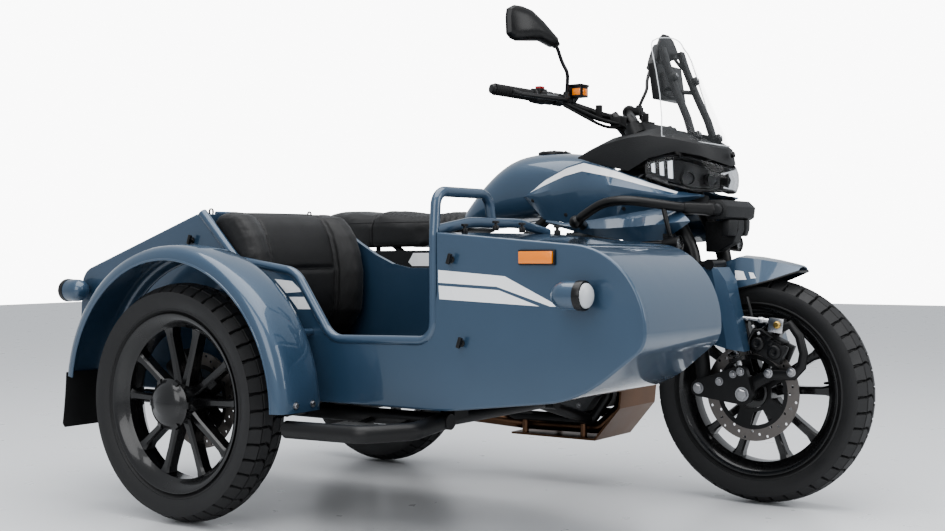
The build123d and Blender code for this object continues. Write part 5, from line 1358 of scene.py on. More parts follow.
        place("crash_bar_set", form.done("crash_bar_set", 30, bevel=1.5), "chassis", [BLACK, PLASTIC],
              ["crash_bars"])

    def aux_lamps(self) -> None:
        """Build the two extra lamps under the crash bars."""
        form = Form()
        spot = Vector((HEAD.x + 206, 205, HEAD.z - 312))
        form.spin(spot, (1, 0, 0), [(-26, 0), (-26, 14), (-18, 18), (6, 22), (24, 24), (26, 22), (20, 20),
                                    (16, 18)], 28)
        form.block(spot + Vector((-14, 0, 22)), (24, 12, 14))
        form.coat = 1
        form.spin(spot, (1, 0, 0), [(16, 18), (0, 10), (0, 0)], 28)
        form.coat = 2
        form.spin(spot, (1, 0, 0), [(17, 0), (17, 20.5), (22, 20), (25, 12), (26, 0)], 28)
        form.mirror()
        place("aux_lamp_set", form.done("aux_lamp_set", 34), "chassis", [SMOOTH_PLASTIC, REFLECTOR, LENS],
              ["fog_lamps"])

    def arms(self) -> None:
        """Build the screen's two arms with their bolts, and the display between them."""
        form = Form()
        for side in (1, -1):
            path = [(1222, side * 72, 706), (1196, side * 70, 786), (1160, side * 66, 866),
                    (1128, side * 62, 946), (1112, side * 60, 996)]
            form.skin([[(x - 10, y - 13, z - 4), (x + 4, y - 13, z + 2), (x + 4, y + 13, z + 2),
                        (x - 10, y + 13, z - 4)] for x, y, z in path])
            for x, z in ((1224, 730), (1150, 905)):
                form.spin((x, side * 70, z), (0.9, 0, 0.4),
                          [(-12, 0), (-12, 13), (10, 13), (12, 10), (12, 0)], 24)
            form.rod([(1092, side * 40, 878), (1150, side * 64, 872)], 7.0, 10)
        turn = Matrix.Rotation(math.radians(-8), 3, "Y")
        form.block((1094, 0, 898), (22, 176, 106), turn)
        form.block((1108, 0, 890), (20, 110, 70), turn)
        form.coat = 1
        form.block((1082.5, 0, 898), (2, 164, 94), turn)
        form.coat = 2
        for side in (1, -1):
            for x, z in ((1224, 730), (1150, 905)):
                form.spin((x + 11, side * 70, z + 5), (0.9, 0, 0.4), [(0, 0), (0, 7), (3, 6), (3, 0)], 6)
        place("screen_arms", form.done("screen_arms", 30, bevel=1.5), "chassis",
              [SMOOTH_PLASTIC, DISPLAY, ZINC], ["screen_bracket"])

    def build(self) -> None:
        """Build the whole front."""
        self.cowl()
        self.headlight()
        self.screen()
        self.bumper()
        self.aux_lamps()
        self.beak()
        self.arms()


def sew(mesh: bpy.types.Mesh, lines: Sequence[Sequence[Spot]], width: float,
        depth: float) -> bpy.types.Mesh:
    """Pull a cover in along its seams.

    Args:
        mesh: the cover in the frame's metres.
        lines: the seams, as runs of places in millimetres.
        width: how far from a seam the cover is drawn in.
        depth: how deep the seam lies.

    Returns:
        The same mesh.
    """
    spots = []
    for line in lines:
        run = [Vector(spot) for spot in line]
        for start, end in zip(run, run[1:]):
            steps = max(1, int((end - start).length / 3))
            spots += [REAR_AXLE + start.lerp(end, step / steps) * MM for step in range(steps + 1)]
    tree = KDTree(len(spots))
    for index, spot in enumerate(spots):
        tree.insert(spot, index)
    tree.balance()
    for vertex in mesh.vertices:
        away = tree.find(vertex.co)[2] / MM
        if away < width:
            vertex.co -= vertex.normal * depth * MM * (1 - (away / width) ** 2) ** 2
    return mesh


def on_cover(mesh: bpy.types.Mesh, lines: Sequence[Sequence[Spot]], back: Spot) -> list[list[Vector]]:
    """Drop seams onto a cover.

    Args:
        mesh: the cover in the frame's metres.
        lines: runs of places in millimetres near the cover.
        back: the direction to start the search from, away from the cover.

    Returns:
        For each run, its places on the cover in millimetres.
    """
    shape = bmesh.new()
    shape.from_mesh(mesh)
    tree = BVHTree.FromBMesh(shape)
    shape.free()
    out = Vector(back).normalized()
    dropped = []
    for line in lines:
        starts = [REAR_AXLE + Vector(spot) * MM + out * 0.08 for spot in line]
        hits = [tree.ray_cast(start, -out)[0] for start in starts]
        dropped.append([(hit - REAR_AXLE) / MM for hit in hits if hit is not None])
    return dropped


@dataclass
class Seats:
    """The rider's seat and the sidecar's padded seat, swollen like real covers, with their seams."""

    rider: Sequence[tuple] = (
        (-194, 78, 526, 509), (-170, 97, 535, 507), (-128, 114, 538, 505), (-104, 121, 538, 470),
                              (-60, 128, 537, 438),
        (0, 133, 529, 421), (34, 135, 527, 415), (62, 135, 529, 414), (92, 135, 536, 414),
                              (142, 135, 530, 414),
        (200, 134, 521, 414), (262, 131, 520, 414), (300, 121, 523, 420), (345, 107, 529, 444),
                              (390, 95, 523, 464),
        (418, 86, 504, 464))
    floor: float = 461.0
    chair_x: float = 147.0
    chair_out: float = -958.0
    chair_in: float = -478.0
    chair_front: Sequence[tuple] = ((506, 82, 104), (482, 100, 130), (450, 116, 154), (400, 129, 174),
                                    (345, 137, 184),
                                    (285, 137, 184), (225, 131, 177), (182, 106, 146), (151, 78, 110))

    def rider_seat(self) -> None:
        """Build the rider's seat with its sewn ribs and the seam of its rear part."""
        rings = []
        for x, wide, top, skirt in self.rider:
            floor = max(self.floor, skirt + 1)
            rings.append(half_ring(x, ((0, top), (wide * 0.5, top - 2), (wide * 0.82, top - 8),
                                       (wide * 0.95, top - 18),
                                       (wide, max(top - 38, skirt + 8)), (wide - 1, skirt + 7),
                                       (wide - 7, skirt),
                                       (wide - 16, skirt), (wide - 22, floor), (0, floor))))
        mesh = plump(Form().skin(rings).done("rider_seat_pad", 60), 5.0, voxel=5.0)
        across = range(-112, 113, 8)
        ribs = on_cover(mesh, [[(92 + step * 19 + 0.16 * abs(y), y, 545) for y in across]
                               for step in range(15)], (0, 0, 1))
        seam = on_cover(mesh, [[(62, y, 545) for y in range(-124, 125, 8)]], (0, 0, 1))
        sides = []
        low = []
        for side in (1, -1):
            sides += on_cover(mesh, [[(62, side * 150, z) for z in range(508, 417, -6)]], (0, side, 0))
            low += on_cover(mesh, [[(x, side * 150, 498) for x in range(-90, 330, 10)]], (0, side, 0))
        sew(mesh, ribs, 8.0, 3.2)
        sew(mesh, seam + sides, 9.0, 4.0)
        piece = place("rider_seat_pad", mesh, "chassis", [HIDE], ["rider_seat"])
        thread = Form()
        for line in sides + low:
            thread.rod(line, 1.5, 6)
        place("rider_seat_seams", thread.done("rider_seat_seams", 60), "chassis", [THREAD])

    def back_point(self, level: int, share: float) -> Vector:
        """A place on the front of the sidecar's backrest.

        Args:
            level: which row of the front, from the top.
            share: from 0 at the outer side to 1 at the inner side.

        Returns:
            The place.
        """
        z, middle, bolster = self.chair_front[level]
        edge = min(share, 1 - share) * (self.chair_in - self.chair_out)
        swell = min(1.0, max(0.0, (108 - edge) / 46))
        swell = swell * swell * (3 - 2 * swell)
        y = self.chair_out + (self.chair_in - self.chair_out) * share
        return Vector((self.chair_x + middle + (bolster - middle) * swell, y, z))

    def backrest(self) -> None:
        """Build the sidecar's backrest with side bolsters and seams."""
        rings = []
        shares = (0.012, 0.03, 0.07, 0.12, 0.17, 0.21, 0.25, 0.35, 0.5, 0.65, 0.75, 0.79, 0.83, 0.88,
                  0.93, 0.97, 0.988)
        for share in shares:
            ring = [Vector((self.chair_x + x, 0, z)) for x,
                    z in ((14, 151), (6, 200), (6, 340), (6, 440), (8, 492), (26, 510),
                                                                   (56, 513))]
            ring += [self.back_point(level, share) for level in range(len(self.chair_front))]
            y = self.chair_out + (self.chair_in - self.chair_out) * share
            edge = min(share, 1 - share)
            shrink = 0.80 if edge < 0.02 else 0.93 if edge < 0.05 else 1.0
            middle = Vector((self.chair_x + 70, 0, 330))
            rings.append([(middle.x + (spot.x - middle.x) * shrink, y,
                           middle.z + (spot.z - middle.z) * (shrink + 1) / 2)
                          for spot in ring])
        mesh = plump(Form().skin(rings).done("sidecar_back_pad", 60), 9.0)
        lines = on_cover(mesh, [[self.back_point(level, share) for level in range(9)]
                                for share in (0.215, 0.785)]
                         + [[(300, y, 352) for y in range(-852, -580, 8)]], (1, 0, 0))
        top = on_cover(mesh, [[(self.chair_x + 58, y, 530) for y in range(-930, -500, 8)]], (0, 0, 1))
        sew(mesh, lines, 13.0, 5.0)
        piece = place("sidecar_back_pad", mesh, "chassis", [HIDE], ["sidecar_backrest"])
        thread = Form()
        for line in on_cover(mesh, lines, (1, 0, 0)) + top:
            thread.rod(line, 1.5, 6)
        place("sidecar_seat_seams", thread.done("sidecar_seat_seams", 60), "chassis", [THREAD])

    def cushion(self) -> None:
        """Build the sidecar's seat cushion."""
        side = [(8, 34), (4, 60), (6, 126), (24, 138), (130, 138), (420, 138), (470, 128), (484, 108),
                (464, 34)]
        middle = Vector((240, 88))
        rings = []
        steps = 14
        for i in range(steps + 1):
            share = i / steps
            y = self.chair_out + 8 + (self.chair_in - self.chair_out - 16) * share
            edge = min(share, 1 - share) * steps
            shrink = 0.86 if edge < 0.5 else 0.97 if edge < 1.5 else 1.0
            rings.append([(self.chair_x + middle.x + (x - middle.x) * (shrink + 1) / 2, y,
                           middle.y + (z - middle.y) * shrink)
                          for x, z in side])
        mesh = plump(Form().skin(rings).done("sidecar_cushion", 60), 8.0)
        lines = on_cover(mesh, [[(x, y, 160) for x in range(380, 620, 10)] for y in (-850, -718, -586)],
                         (0, 0, 1))
        sew(mesh, lines, 13.0, 5.0)
        piece = place("sidecar_cushion", mesh, "chassis", [HIDE], ["sidecar_seat"])

    def build(self) -> None:
        """Build all seats."""
        self.rider_seat()
        self.backrest()
        self.cushion()


@dataclass
class SidecarTrim:
    """What sits on the sidecar body: stripes, reflector, lamps, fasteners, mudguard and flap."""

    upper_stripe: Sequence[tuple] = ((972, 355), (1166, 341), (1318, 272), (1292, 272), (1143, 316),
                                     (972, 324))
    lower_stripe: Sequence[tuple] = ((973, 317), (1149, 308), (1262, 272), (975, 284))
    rear_upper: Sequence[tuple] = ((427, 329), (490, 324), (527, 296), (469, 292))
    rear_lower: Sequence[tuple] = ((479, 282), (542, 283), (567, 251), (511, 250))
    lamps: Sequence[tuple] = ((SIDE_AXLE.x + 1104, 300, 1), (SIDE_AXLE.x - 528, 290, -1))
    guard_crown: float = 423.0
    guard_half: float = 80.0

    def stripes(self) -> None:
        """Lay the white film stripes on the outer panel."""
        form = Form()
        for outline in (self.upper_stripe, self.lower_stripe, self.rear_upper, self.rear_lower):
            form.slab([(x, BODY_OUT - 0.7, z) for x, z in outline], (0, 0.9, 0))
        place("sidecar_stripes", form.done("sidecar_stripes"), "chassis", [WHITE])

    def reflector(self) -> None:
        """Fix the amber reflector on its dark base."""
        form = Form()
        form.block((1257, BODY_OUT - 3, 385), (100, 6, 36))
        form.coat = 1
        form.block((1257, BODY_OUT - 8, 385), (92, 8, 29))
        place("side_reflector", form.done("side_reflector", bevel=2.5), "chassis",
              [SMOOTH_PLASTIC, AMBER])

    def side_lamps(self) -> None:
        """Build the torpedo lamps with their rings and lenses."""
        form = Form()
        glass = Form()
        for x, z, out in self.lamps:
            y = BODY_OUT - 43
            axis = (out, 0, 0)
            form.coat = 0
            form.spin((x, y, z), axis, [(-4, 0), (-2, 12), (4, 22), (14, 29), (26, 32.5), (40, 33),
                                        (66, 33), (66, 0)], 40)
            form.coat = 1
            form.spin((x, y, z), axis, [(64, 0), (64, 34), (78, 34.5), (82, 33), (82, 29), (70, 24),
                                        (60, 0)], 40)
            form.rod([(x + out * 40, y, z), (x + out * 40, BODY_OUT + 2, z)], 12.0, 16)
            glass.spin((x, y, z), axis, [(79, 0), (79, 29), (86, 28), (92, 22), (96, 12), (97, 0)], 40)
        place("torpedo_lamps", form.done("torpedo_lamps", 40), "chassis", [BLUE, SMOOTH_PLASTIC],
              ["sidecar_lamps"])
        place("torpedo_lenses", glass.done("torpedo_lenses", 50), "chassis", [FROST])

    def guard_point(self, angle: float, y: float, drop: float) -> Vector:
        """A place on the sidecar mudguard by its angle, its side offset and its depth below the crown."""
        turn = math.radians(angle)
        radius = self.guard_crown - drop
        return Vector((SIDE_AXLE.x + radius * math.cos(turn), SIDE_AXLE.y + y, radius * math.sin(turn)))

    def mudguard(self) -> None:
        """Build the mudguard with its rolled edges and stays."""
        half = self.guard_half
        section = [(-half, 40), (-half, 32), (-half + 3, 20), (-half + 11, 9), (-half + 28, 3),
                   (-half + 52, 1), (0, 0)]
        section += [(-y, drop) for y, drop in reversed(section[:-1])]
        angles = [172 * i / 43 for i in range(44)]
        sheet = Form().skin([[self.guard_point(angle, y, drop) for y, drop in section]
                             for angle in angles], loop=False)
        place("sidecar_guard_sheet", sheet.done("sidecar_guard_sheet", 50, wall=4.0), "chassis", [BLUE],
              ["sidecar_mudguard"])
        lips = Form()
        for y in (-half + 1.5, half - 1.5):
            lips.rod([self.guard_point(angle, y, 40) for angle in angles], 3.6, 10)
        for angle in (30, 90, 145):
            low = self.guard_point(angle, half - 2, 40)
            lips.rod([(low.x, BODY_OUT, low.z), low], 10.0, 14)
        place("sidecar_guard_lips", lips.done("sidecar_guard_lips"), "chassis", [BLUE])
        bolts = Form()
        for y in (-28, 34):
            low = self.guard_point(2.5, y, 1)
            hex_bolt(bolts, low, (1, 0, 0), 7, 5)
        place("sidecar_guard_bolts", bolts.done("sidecar_guard_bolts"), "chassis", [ZINC])

    def flap(self) -> None:
        """Hang the rubber flap behind the mudguard, with its clamp strip and bolts."""
        low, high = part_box("mudflap")
        first, last = (Vector(low) - REAR_AXLE) / MM, (Vector(high) - REAR_AXLE) / MM
        wide = self.guard_half - 4
        rings = []
        for share in (0.0, 0.15, 0.4, 0.7, 0.93, 1.0):
            z = last.z + 26 + (first.z - last.z - 26) * share
            x = last.x - 10 - 14 * share ** 1.6
            half = wide + 4 * share - (8 if share == 1.0 else 0)
            rings.append([(x + (3 if side else 0), SIDE_AXLE.y + y, z) for side in (0, 1)
                          for y in ((-half, half) if not side else (half, -half))])
        form = Form().skin(rings)
        form.coat = 1
        form.block((last.x - 13, SIDE_AXLE.y, last.z - 6), (4, wide * 2 - 10, 22))
        form.coat = 2
        for y in (-52, 0, 52):
            hex_bolt(form, (last.x - 15, SIDE_AXLE.y + y, last.z - 6), (-1, 0, 0), 6, 4)
        place("mudflap_sheet", form.done("mudflap_sheet", 30, bevel=1.0), "chassis",
              [RUBBER, BLACK, ZINC], ["mudflap"])

    def fasteners(self) -> None:
        """Set the toggles on the panel and the top, and the wire eyes behind the seat."""
        form = Form()
        for x, z in ((1012, 380), (1041, 179), (112, 435)):
            form.spin((x, BODY_OUT, z), (0, -1, 0), [(0, 0), (0, 9), (3, 9), (4, 5), (12, 4.5), (12, 0)],
                      16)
            form.block((x + 3, BODY_OUT - 15, z + 2), (9, 8, 26),
                       Matrix.Rotation(math.radians(18), 3, "Y"))
            form.spin((x - 8, BODY_OUT, z - 5), (0, -1, 0), [(0, 0), (0, 4), (5, 3.5), (5, 0)], 10)
        for x, z in ((991, 452), (1084, 458), (1160, 452), (1259, 444)):
            form.spin((x, -900, z), (0, 0, 1), [(-8, 0), (-8, 8), (4, 8), (5, 4), (11, 4), (11, 0)], 14)
            form.block((x, -900, z + 13), (8, 20, 6))
        form.coat = 1
        for x in (WHEEL_EYE_X - 4, WHEEL_EYE_X):
            for y in (-930, -520):
                loop = [(x, y + 7 * math.cos(t * math.pi / 8), 516 + 9 * math.sin(t * math.pi / 8))
                        for t in range(-2, 11)]
                form.rod(loop, 1.6, 6)
        place("sidecar_fasteners", form.done("sidecar_fasteners", 34, bevel=0.8), "chassis",
              [BLACK, DARK_STEEL])

    def step_plate(self) -> None:
        """Lay the ribbed tread on the step."""
        last = (Vector(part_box("sidecar_step")[1]) - REAR_AXLE) / MM
        rib = Form().skin([[(0, -48, 0), (7, -48, 0), (7, 48, 0), (0, 48, 0)],
                           [(1.5, -46, 3), (5.5, -46, 3), (5.5, 46, 3), (1.5, 46, 3)]])
        form = Form().block((last.x - 168, -1065, -32), (188, 104, 3))
        form.take(row_of(rib, WORN_TREAD, 13, (last.x - 258, -1065, -30.6), (14, 0, 0)))
        place("step_tread", form.done("step_tread", 30), "chassis", [WORN_TREAD])

    def build(self) -> None:
        """Build all sidecar trim."""
        self.stripes()
        self.reflector()
        self.side_lamps()
        self.mudguard()
        self.flap()
        self.fasteners()
        self.step_plate()


def smooth_run(route: Sequence[Spot]) -> list[Vector]:
    """Places along the smooth spline that a route of control points gives."""
    curve = bpy.data.curves.new("route", "CURVE")
    curve.dimensions = "3D"
    spline = curve.splines.new("NURBS")
    spline.points.add(len(route) - 1)
    for point, spot in zip(spline.points, route):
        point.co = (*spot, 1.0)
    spline.order_u = 3
    spline.use_endpoint_u = True
    spline.resolution_u = 8
    mesh = settled(bpy.data.objects.new("route", curve), "route")
    spots = [vertex.co.copy() for vertex in mesh.vertices]
    bpy.data.meshes.remove(mesh)
    bpy.data.curves.remove(curve)
    return spots


@dataclass
class Bars:
    """The handlebar's fittings: ribbed grips, controls and mirrors."""

    end: Vector = field(default_factory=lambda: Vector((HEAD.x - 254, -410, HEAD.z + 137)))
    bend: Vector = field(default_factory=lambda: Vector((HEAD.x - 162, -225.5, HEAD.z + 118)))

    def mirrors(self) -> None:
        """Build the leaf-shaped mirrors on their stems."""
        outline = [(-6, -4), (8, 18), (58, 58), (103, 87), (138, 95), (160, 95), (180, 84), (184, 60),
                   (182, 14), (170, 2), (150, -4), (106, 0),
                   (67, 4), (24, -10)]
        corner = Vector((HEAD.x - 117, -287, HEAD.z + 269))
        out = Vector((-0.295, -1.0, 0.0))
        ahead = Vector((1.0, -0.295, 0.10)).normalized()
        middle = Vector((96, 40))
        form = Form()

        def ring(scale: float, depth: float) -> list[Vector]:
            """The head's outline, drawn in about its middle and moved ahead."""
            return [corner + out * (middle.x + (u - middle.x) * scale) + Vector((0, 0,
                    middle.y + (v - middle.y) * scale)) + ahead * depth
                    for u, v in outline]
        form.skin([ring(0.96, -10), ring(1.0, -7), ring(1.0, 2), ring(0.93, 11), ring(0.78, 17),
                   ring(0.45, 22), ring(0.2, 23)])
        foot = Vector((HEAD.x - 125, -226, HEAD.z + 112))
        form.spin(foot, (0, 0, 1), [(-4, 0), (-4, 13), (12, 13), (14, 10), (24, 10), (26, 7), (26, 0)],
                  18)
        stem = [foot + Vector((0, 0, 20)), foot + Vector((8, -8, 46)), foot + Vector((18, -22, 78)),
                foot + Vector((8, -38, 106)),
                corner + out * 4 + Vector((0, 0, -4)), corner + out * 26 + Vector((0, 0, 8)) + ahead * 8]
        form.rod(smooth_run(stem), 5.5, 12)
        form.spin(corner + out * 12 + Vector((0, 0, 4)), (0.2, -0.6, 0.7),
                  [(-14, 0), (-14, 9), (10, 13), (16, 10), (16, 0)], 18)
        form.coat = 1
        form.skin([ring(0.9, -10.6), ring(0.9, -9)])
        form.mirror()
        place("mirror_heads", form.done("mirror_heads", 30), "steering", [SMOOTH_PLASTIC, MIRROR],
              ["mirrors"])

    def grips(self) -> None:
        """Build the ribbed rubber grips with their end weights."""
        run = (self.bend - self.end).normalized()
        profile = [(-2, 11.5), (-2, 18)]
        for step in range(14):
            far = 4 + step * 8.4
            profile += [(far, 17.2), (far + 1.2, 15.6), (far + 4.0, 15.6), (far + 5.2, 17.2)]
        profile += [(122, 17.2), (123, 21), (127, 21), (127, 11.5)]
        form = Form().spin(self.end, run, profile, 28, closed=True)
        form.coat = 1
        form.spin(self.end, -run, [(-2, 0), (0, 15), (6, 15.5), (14, 13), (16, 0)], 24)
        form.mirror()
        place("ribbed_grips", form.done("ribbed_grips", 30), "steering", [RUBBER, BLACK], ["grips"])

    def controls(self) -> None:
        """Build the switch housings, levers and the brake reservoir."""
        run = (self.bend - self.end).normalized()
        start = self.end + run * 128
        form = Form()
        form.spin(start, run, [(0, 11.5), (0, 19), (3, 22), (34, 23), (38, 20), (62, 20), (66, 17),
                               (66, 11.5)], 28, closed=True)
        pivot = start + run * 86 + Vector((40, 0, -4))
        form.block(start + run * 84 + Vector((20, 0, 0)), (52, 30, 26))
        form.spin(start + run * 84, run, [(-13, 11.5), (-13, 19), (13, 19), (13, 11.5)], 20, closed=True)
        form.rod([pivot + Vector((0, 4, 0)), pivot + run * -30 + Vector((12, 0, -3)),
                  self.end + run * 40 + Vector((54, 0, -12)),
                  self.end + Vector((58, 6, -10))], (9, 7.5, 6, 7), 12)
        form.mirror()
        place("switch_housings", form.done("switch_housings", 34, bevel=1.5), "steering",
              [SMOOTH_PLASTIC], ["bar_controls"])
        extras = Form()
        extras.block(start + run * 20 + Vector((4, 0, 25)), (18, 24, 9))
        extras.coat = 1
        box = Vector((HEAD.x - 102, -197, HEAD.z + 138))
        extras.block(box, (42, 44, 32))
        extras.block(box + Vector((0, 0, 18)), (47, 49, 7))
        extras.rod([box + Vector((-6, 0, -14)), box + Vector((-16, -8, -30))], 9.0, 12)
        extras.block(start + run * 20 + Vector((2, 0, 14)), (30, 40, 16))
        extras.coat = 3
        extras.rod([start + run * 4 + Vector((10, -8, 4)), start + run * 96 + Vector((10, -8, 4))], 8.5,
                   8)
        extras.coat = 2
        extras.block(box + Vector((6, -21, -1)), (26, 5, 20))
        extras.block(box + Vector((20, 4, -1)), (5, 26, 20))
        place("bar_extras", extras.done("bar_extras", 34, bevel=1.2), "steering",
              [RED, SMOOTH_PLASTIC, AMBER, ALLOY])

    def hoses(self) -> None:
        """Clip the control cables and hoses along the bar, down to the stem."""
        form = Form()
        for side in (1, -1):
            for shift, drop in ((0, 0), (9, -10), (18, -2)):
                route = [(HEAD.x - 128, side * 238, HEAD.z + 108 + drop),
                         (HEAD.x - 92 + shift, side * 200, HEAD.z + 76 + drop),
                         (HEAD.x - 52 + shift, side * 142, HEAD.z + 54 + drop * 2),
                         (HEAD.x - 22 + shift, side * 92, HEAD.z + 46 + drop),
                         (HEAD.x - 8 + shift, side * 58, HEAD.z + 10 + drop)]
                form.rod(smooth_run(route), 4.6 if shift else 5.6, 10)
            form.block((HEAD.x - 60, side * 148, HEAD.z + 84), (16, 14, 34))
            form.block((HEAD.x - 26, side * 92, HEAD.z + 52), (34, 40, 30))
        place("bar_hoses", form.done("bar_hoses", 34, bevel=1.0), "steering", [RUBBER])

    def build(self) -> None:
        """Build everything on the bar."""
        self.mirrors()
        self.grips()
        self.controls()
        self.hoses()


@dataclass
class Drive:
    """The engine's details, the radiator's core, the silencer, the rear sprocket and the chain."""

    engine_x: float = 800.0
    lean: float = math.radians(15)
    drive: tuple[float, float] = (604.0, 70.0)
    line_y: float = 90.0
    sprocket: float = 92.0
    pinion: float = 38.0
    link_pitch: float = 15.875

    def engine(self) -> None:
        """Add cooling fins, cover rims and bolts to the power unit."""
        along = Vector((math.sin(self.lean), 0, math.cos(self.lean)))
        turn = Matrix.Rotation(self.lean, 3, "Y")
        foot = Vector((self.engine_x - 40 + 205 * along.x, 0, 205 * along.z + 20))
        fin = Form()
        fin.block((0, 0, 0), (190, 228, 4), turn)
        fins = Form().take(row_of(fin, ALLOY, 9, foot, along * 14))
        for side in (1, -1):
            for x, z, radius, out in ((50, 50, 88, 36), (-80, 70, 70, 24)):
                spot = Vector((self.engine_x + x, side * (128 + out), z))
                fins.spin(spot, (0, side, 0), [(-10, radius - 1), (-10, radius + 4), (-3, radius + 4),
                                               (1, radius - 3),
                                               (1, radius - 12), (-2, radius - 14)], 48)
                fins.spin(spot, (0, side, 0), [(-2, 0), (-2, radius * 0.4), (5, radius * 0.36), (6, 0)],
                          36)
        place("engine_castings", fins.done("engine_castings", 32), "chassis", [ALLOY])
        bolts = Form()
        for side in (1, -1):
            for x, z, radius, out in ((50, 50, 88, 36), (-80, 70, 70, 24)):
                for step in range(8):
                    angle = 2 * math.pi * (step + 0.5) / 8
                    hex_bolt(bolts, (self.engine_x + x + (radius - 7) * math.cos(angle),
                                     side * (128.6 + out),
                                     z + (radius - 7) * math.sin(angle)), (0, side, 0), 4.5, 5)
            for x, z in ((-100, -60), (60, -66), (-104, 140), (-50, 200), (50, 206)):
                hex_bolt(bolts, (self.engine_x + x, side * 128.4, z), (0, side, 0), 6, 6)
        place("engine_bolts", bolts.done("engine_bolts"), "chassis", [ZINC])

    def radiator(self) -> None:
        """Add the radiator's fins and side tanks."""
        low, high = Vector((1040, 0, 262)), Vector((1073, 0, 444))
        fin = Form().rod([(0, -138, 0), (0, 138, 0)], 1.6, 6)
        core = Form().take(row_of(fin, ALLOY, 30, low, (high - low) / 29))
        core.coat = 1
        for side in (1, -1):
            core.rod([low + Vector((0, side * 150, -4)), high + Vector((0, side * 150, 4))], 12.0, 12)
        place("radiator_core", core.done("radiator_core", 32), "chassis", [ALLOY, SMOOTH_PLASTIC])

    def silencer(self) -> None:
        """Add the silencer's dark shell, its bands and its outlet."""
        start, end = Vector((258, -228, 48)), Vector((-170, -240, 150))
        along = (end - start).normalized()
        length = (end - start).length
        form = Form()
        form.spin(start, along, [(-26, 20), (-8, 40), (2, 58.5), (20, 59.5), (length - 40, 59.5),
                                 (length - 40, 58.2)], 40)
        form.coat = 1
        for far in (60, length - 70):
            form.spin(start, along, [(far, 58), (far, 61), (far + 16, 61), (far + 16, 58)], 40,
                      closed=True)
        form.spin(start, along, [(length - 40, 58.2), (length - 40, 60), (length - 8, 57),
                                 (length + 3, 44), (length + 3, 26),
                                 (length - 12, 24), (length - 12, 0)], 40)
        place("silencer_shell", form.done("silencer_shell", 30), "chassis", [BLACK, DARK_STEEL])

    def toothed(self, radius: float, teeth: int) -> list[tuple[float, float]]:
        """The outline of a chain wheel in side view."""
        outline = []
        for tooth in range(teeth):
            for part, reach in ((0.0, -6.0), (0.28, -5.0), (0.42, 2.0), (0.58, 2.0), (0.72, -5.0)):
                angle = 2 * math.pi * (tooth + part) / teeth
                outline.append(((radius + reach) * math.cos(angle), (radius + reach) * math.sin(angle)))
        return outline

    def sprockets(self) -> None:
        """Build the rear chain wheel with its bolts."""
        windows = [circle(11, 16, 60 * math.cos(2 * math.pi * i / 6), 60 * math.sin(2 * math.pi * i / 6))
                   for i in range(6)]
        plate = drilled_plate([self.toothed(self.sprocket, 39), circle(30, 32)] + windows, 6.0)
        plate.transform(Matrix.Translation((0, self.line_y, 0)))
        form = Form().take(plate)
        for step in range(6):
            angle = 2 * math.pi * (step + 0.5) / 6
            hex_bolt(form, (44 * math.cos(angle), self.line_y + 3, 44 * math.sin(angle)), (0, 1, 0), 6, 5)
        place("rear_chain_wheel", form.done("rear_chain_wheel", 30), "rear_wheel", [DARK_STEEL])

    def chain(self) -> None:
        """Set out the chain's links round both chain wheels."""
        reach = Vector(self.drive)
        rear, front = self.sprocket + 8, self.pinion + 8
        aim = math.atan2(reach.y, reach.x)
        spread = math.acos((rear - front) / reach.length)
        top, low = aim + spread, aim - spread
        spots = [(rear * math.cos(a), rear * math.sin(a))
                 for a in (top + (2 * math.pi - 2 * spread) * i / 40 for i in range(41))]
        spots += [(reach.x + front * math.cos(a), reach.y + front * math.sin(a))
                  for a in (low + 2 * spread * i / 24 for i in range(25))]
        curve = bpy.data.curves.new("chain_run", "CURVE")
        curve.dimensions = "3D"
        spline = curve.splines.new("POLY")
        spline.points.add(len(spots) - 1)
        for point, (x, z) in zip(spline.points, spots):
            point.co = (x, self.line_y, z, 1.0)
        spline.use_cyclic_u = True
        run = bpy.data.objects.new("chain_run", curve)
        bpy.context.scene.collection.objects.link(run)
        length = sum((Vector(a) - Vector(b)).length for a, b in zip(spots, spots[1:] + spots[:1]))
        link = Form()
        for side in (1, -1):
            link.skin([[(x, side * y, z) for x, z in ((-7.6, -3.2), (-4, -6.2), (0, -4.4), (4, -6.2),
                                                      (7.6, -3.2), (7.6, 3.2), (4, 6.2),
                                                      (0, 4.4), (-4, 6.2), (-7.6, 3.2))]
                       for y in (4.2, 6.4)])
        link.rod([(-3.9, -6.8, 0), (-3.9, 6.8, 0)], 4.6, 10)
        links = set_out(Layout.CHAIN, link, DARK_STEEL, Path=run, Count=round(length / self.link_pitch))
        bpy.data.objects.remove(run)
        bpy.data.curves.remove(curve)
        place("chain_links", Form().take(links).done("chain_links", 30), "chassis", [DARK_STEEL],
              ["drive_chain"])

    def build(self) -> None:
        """Build the whole drive side."""
        self.engine()
        self.radiator()
        self.silencer()
        self.sprockets()
        self.chain()


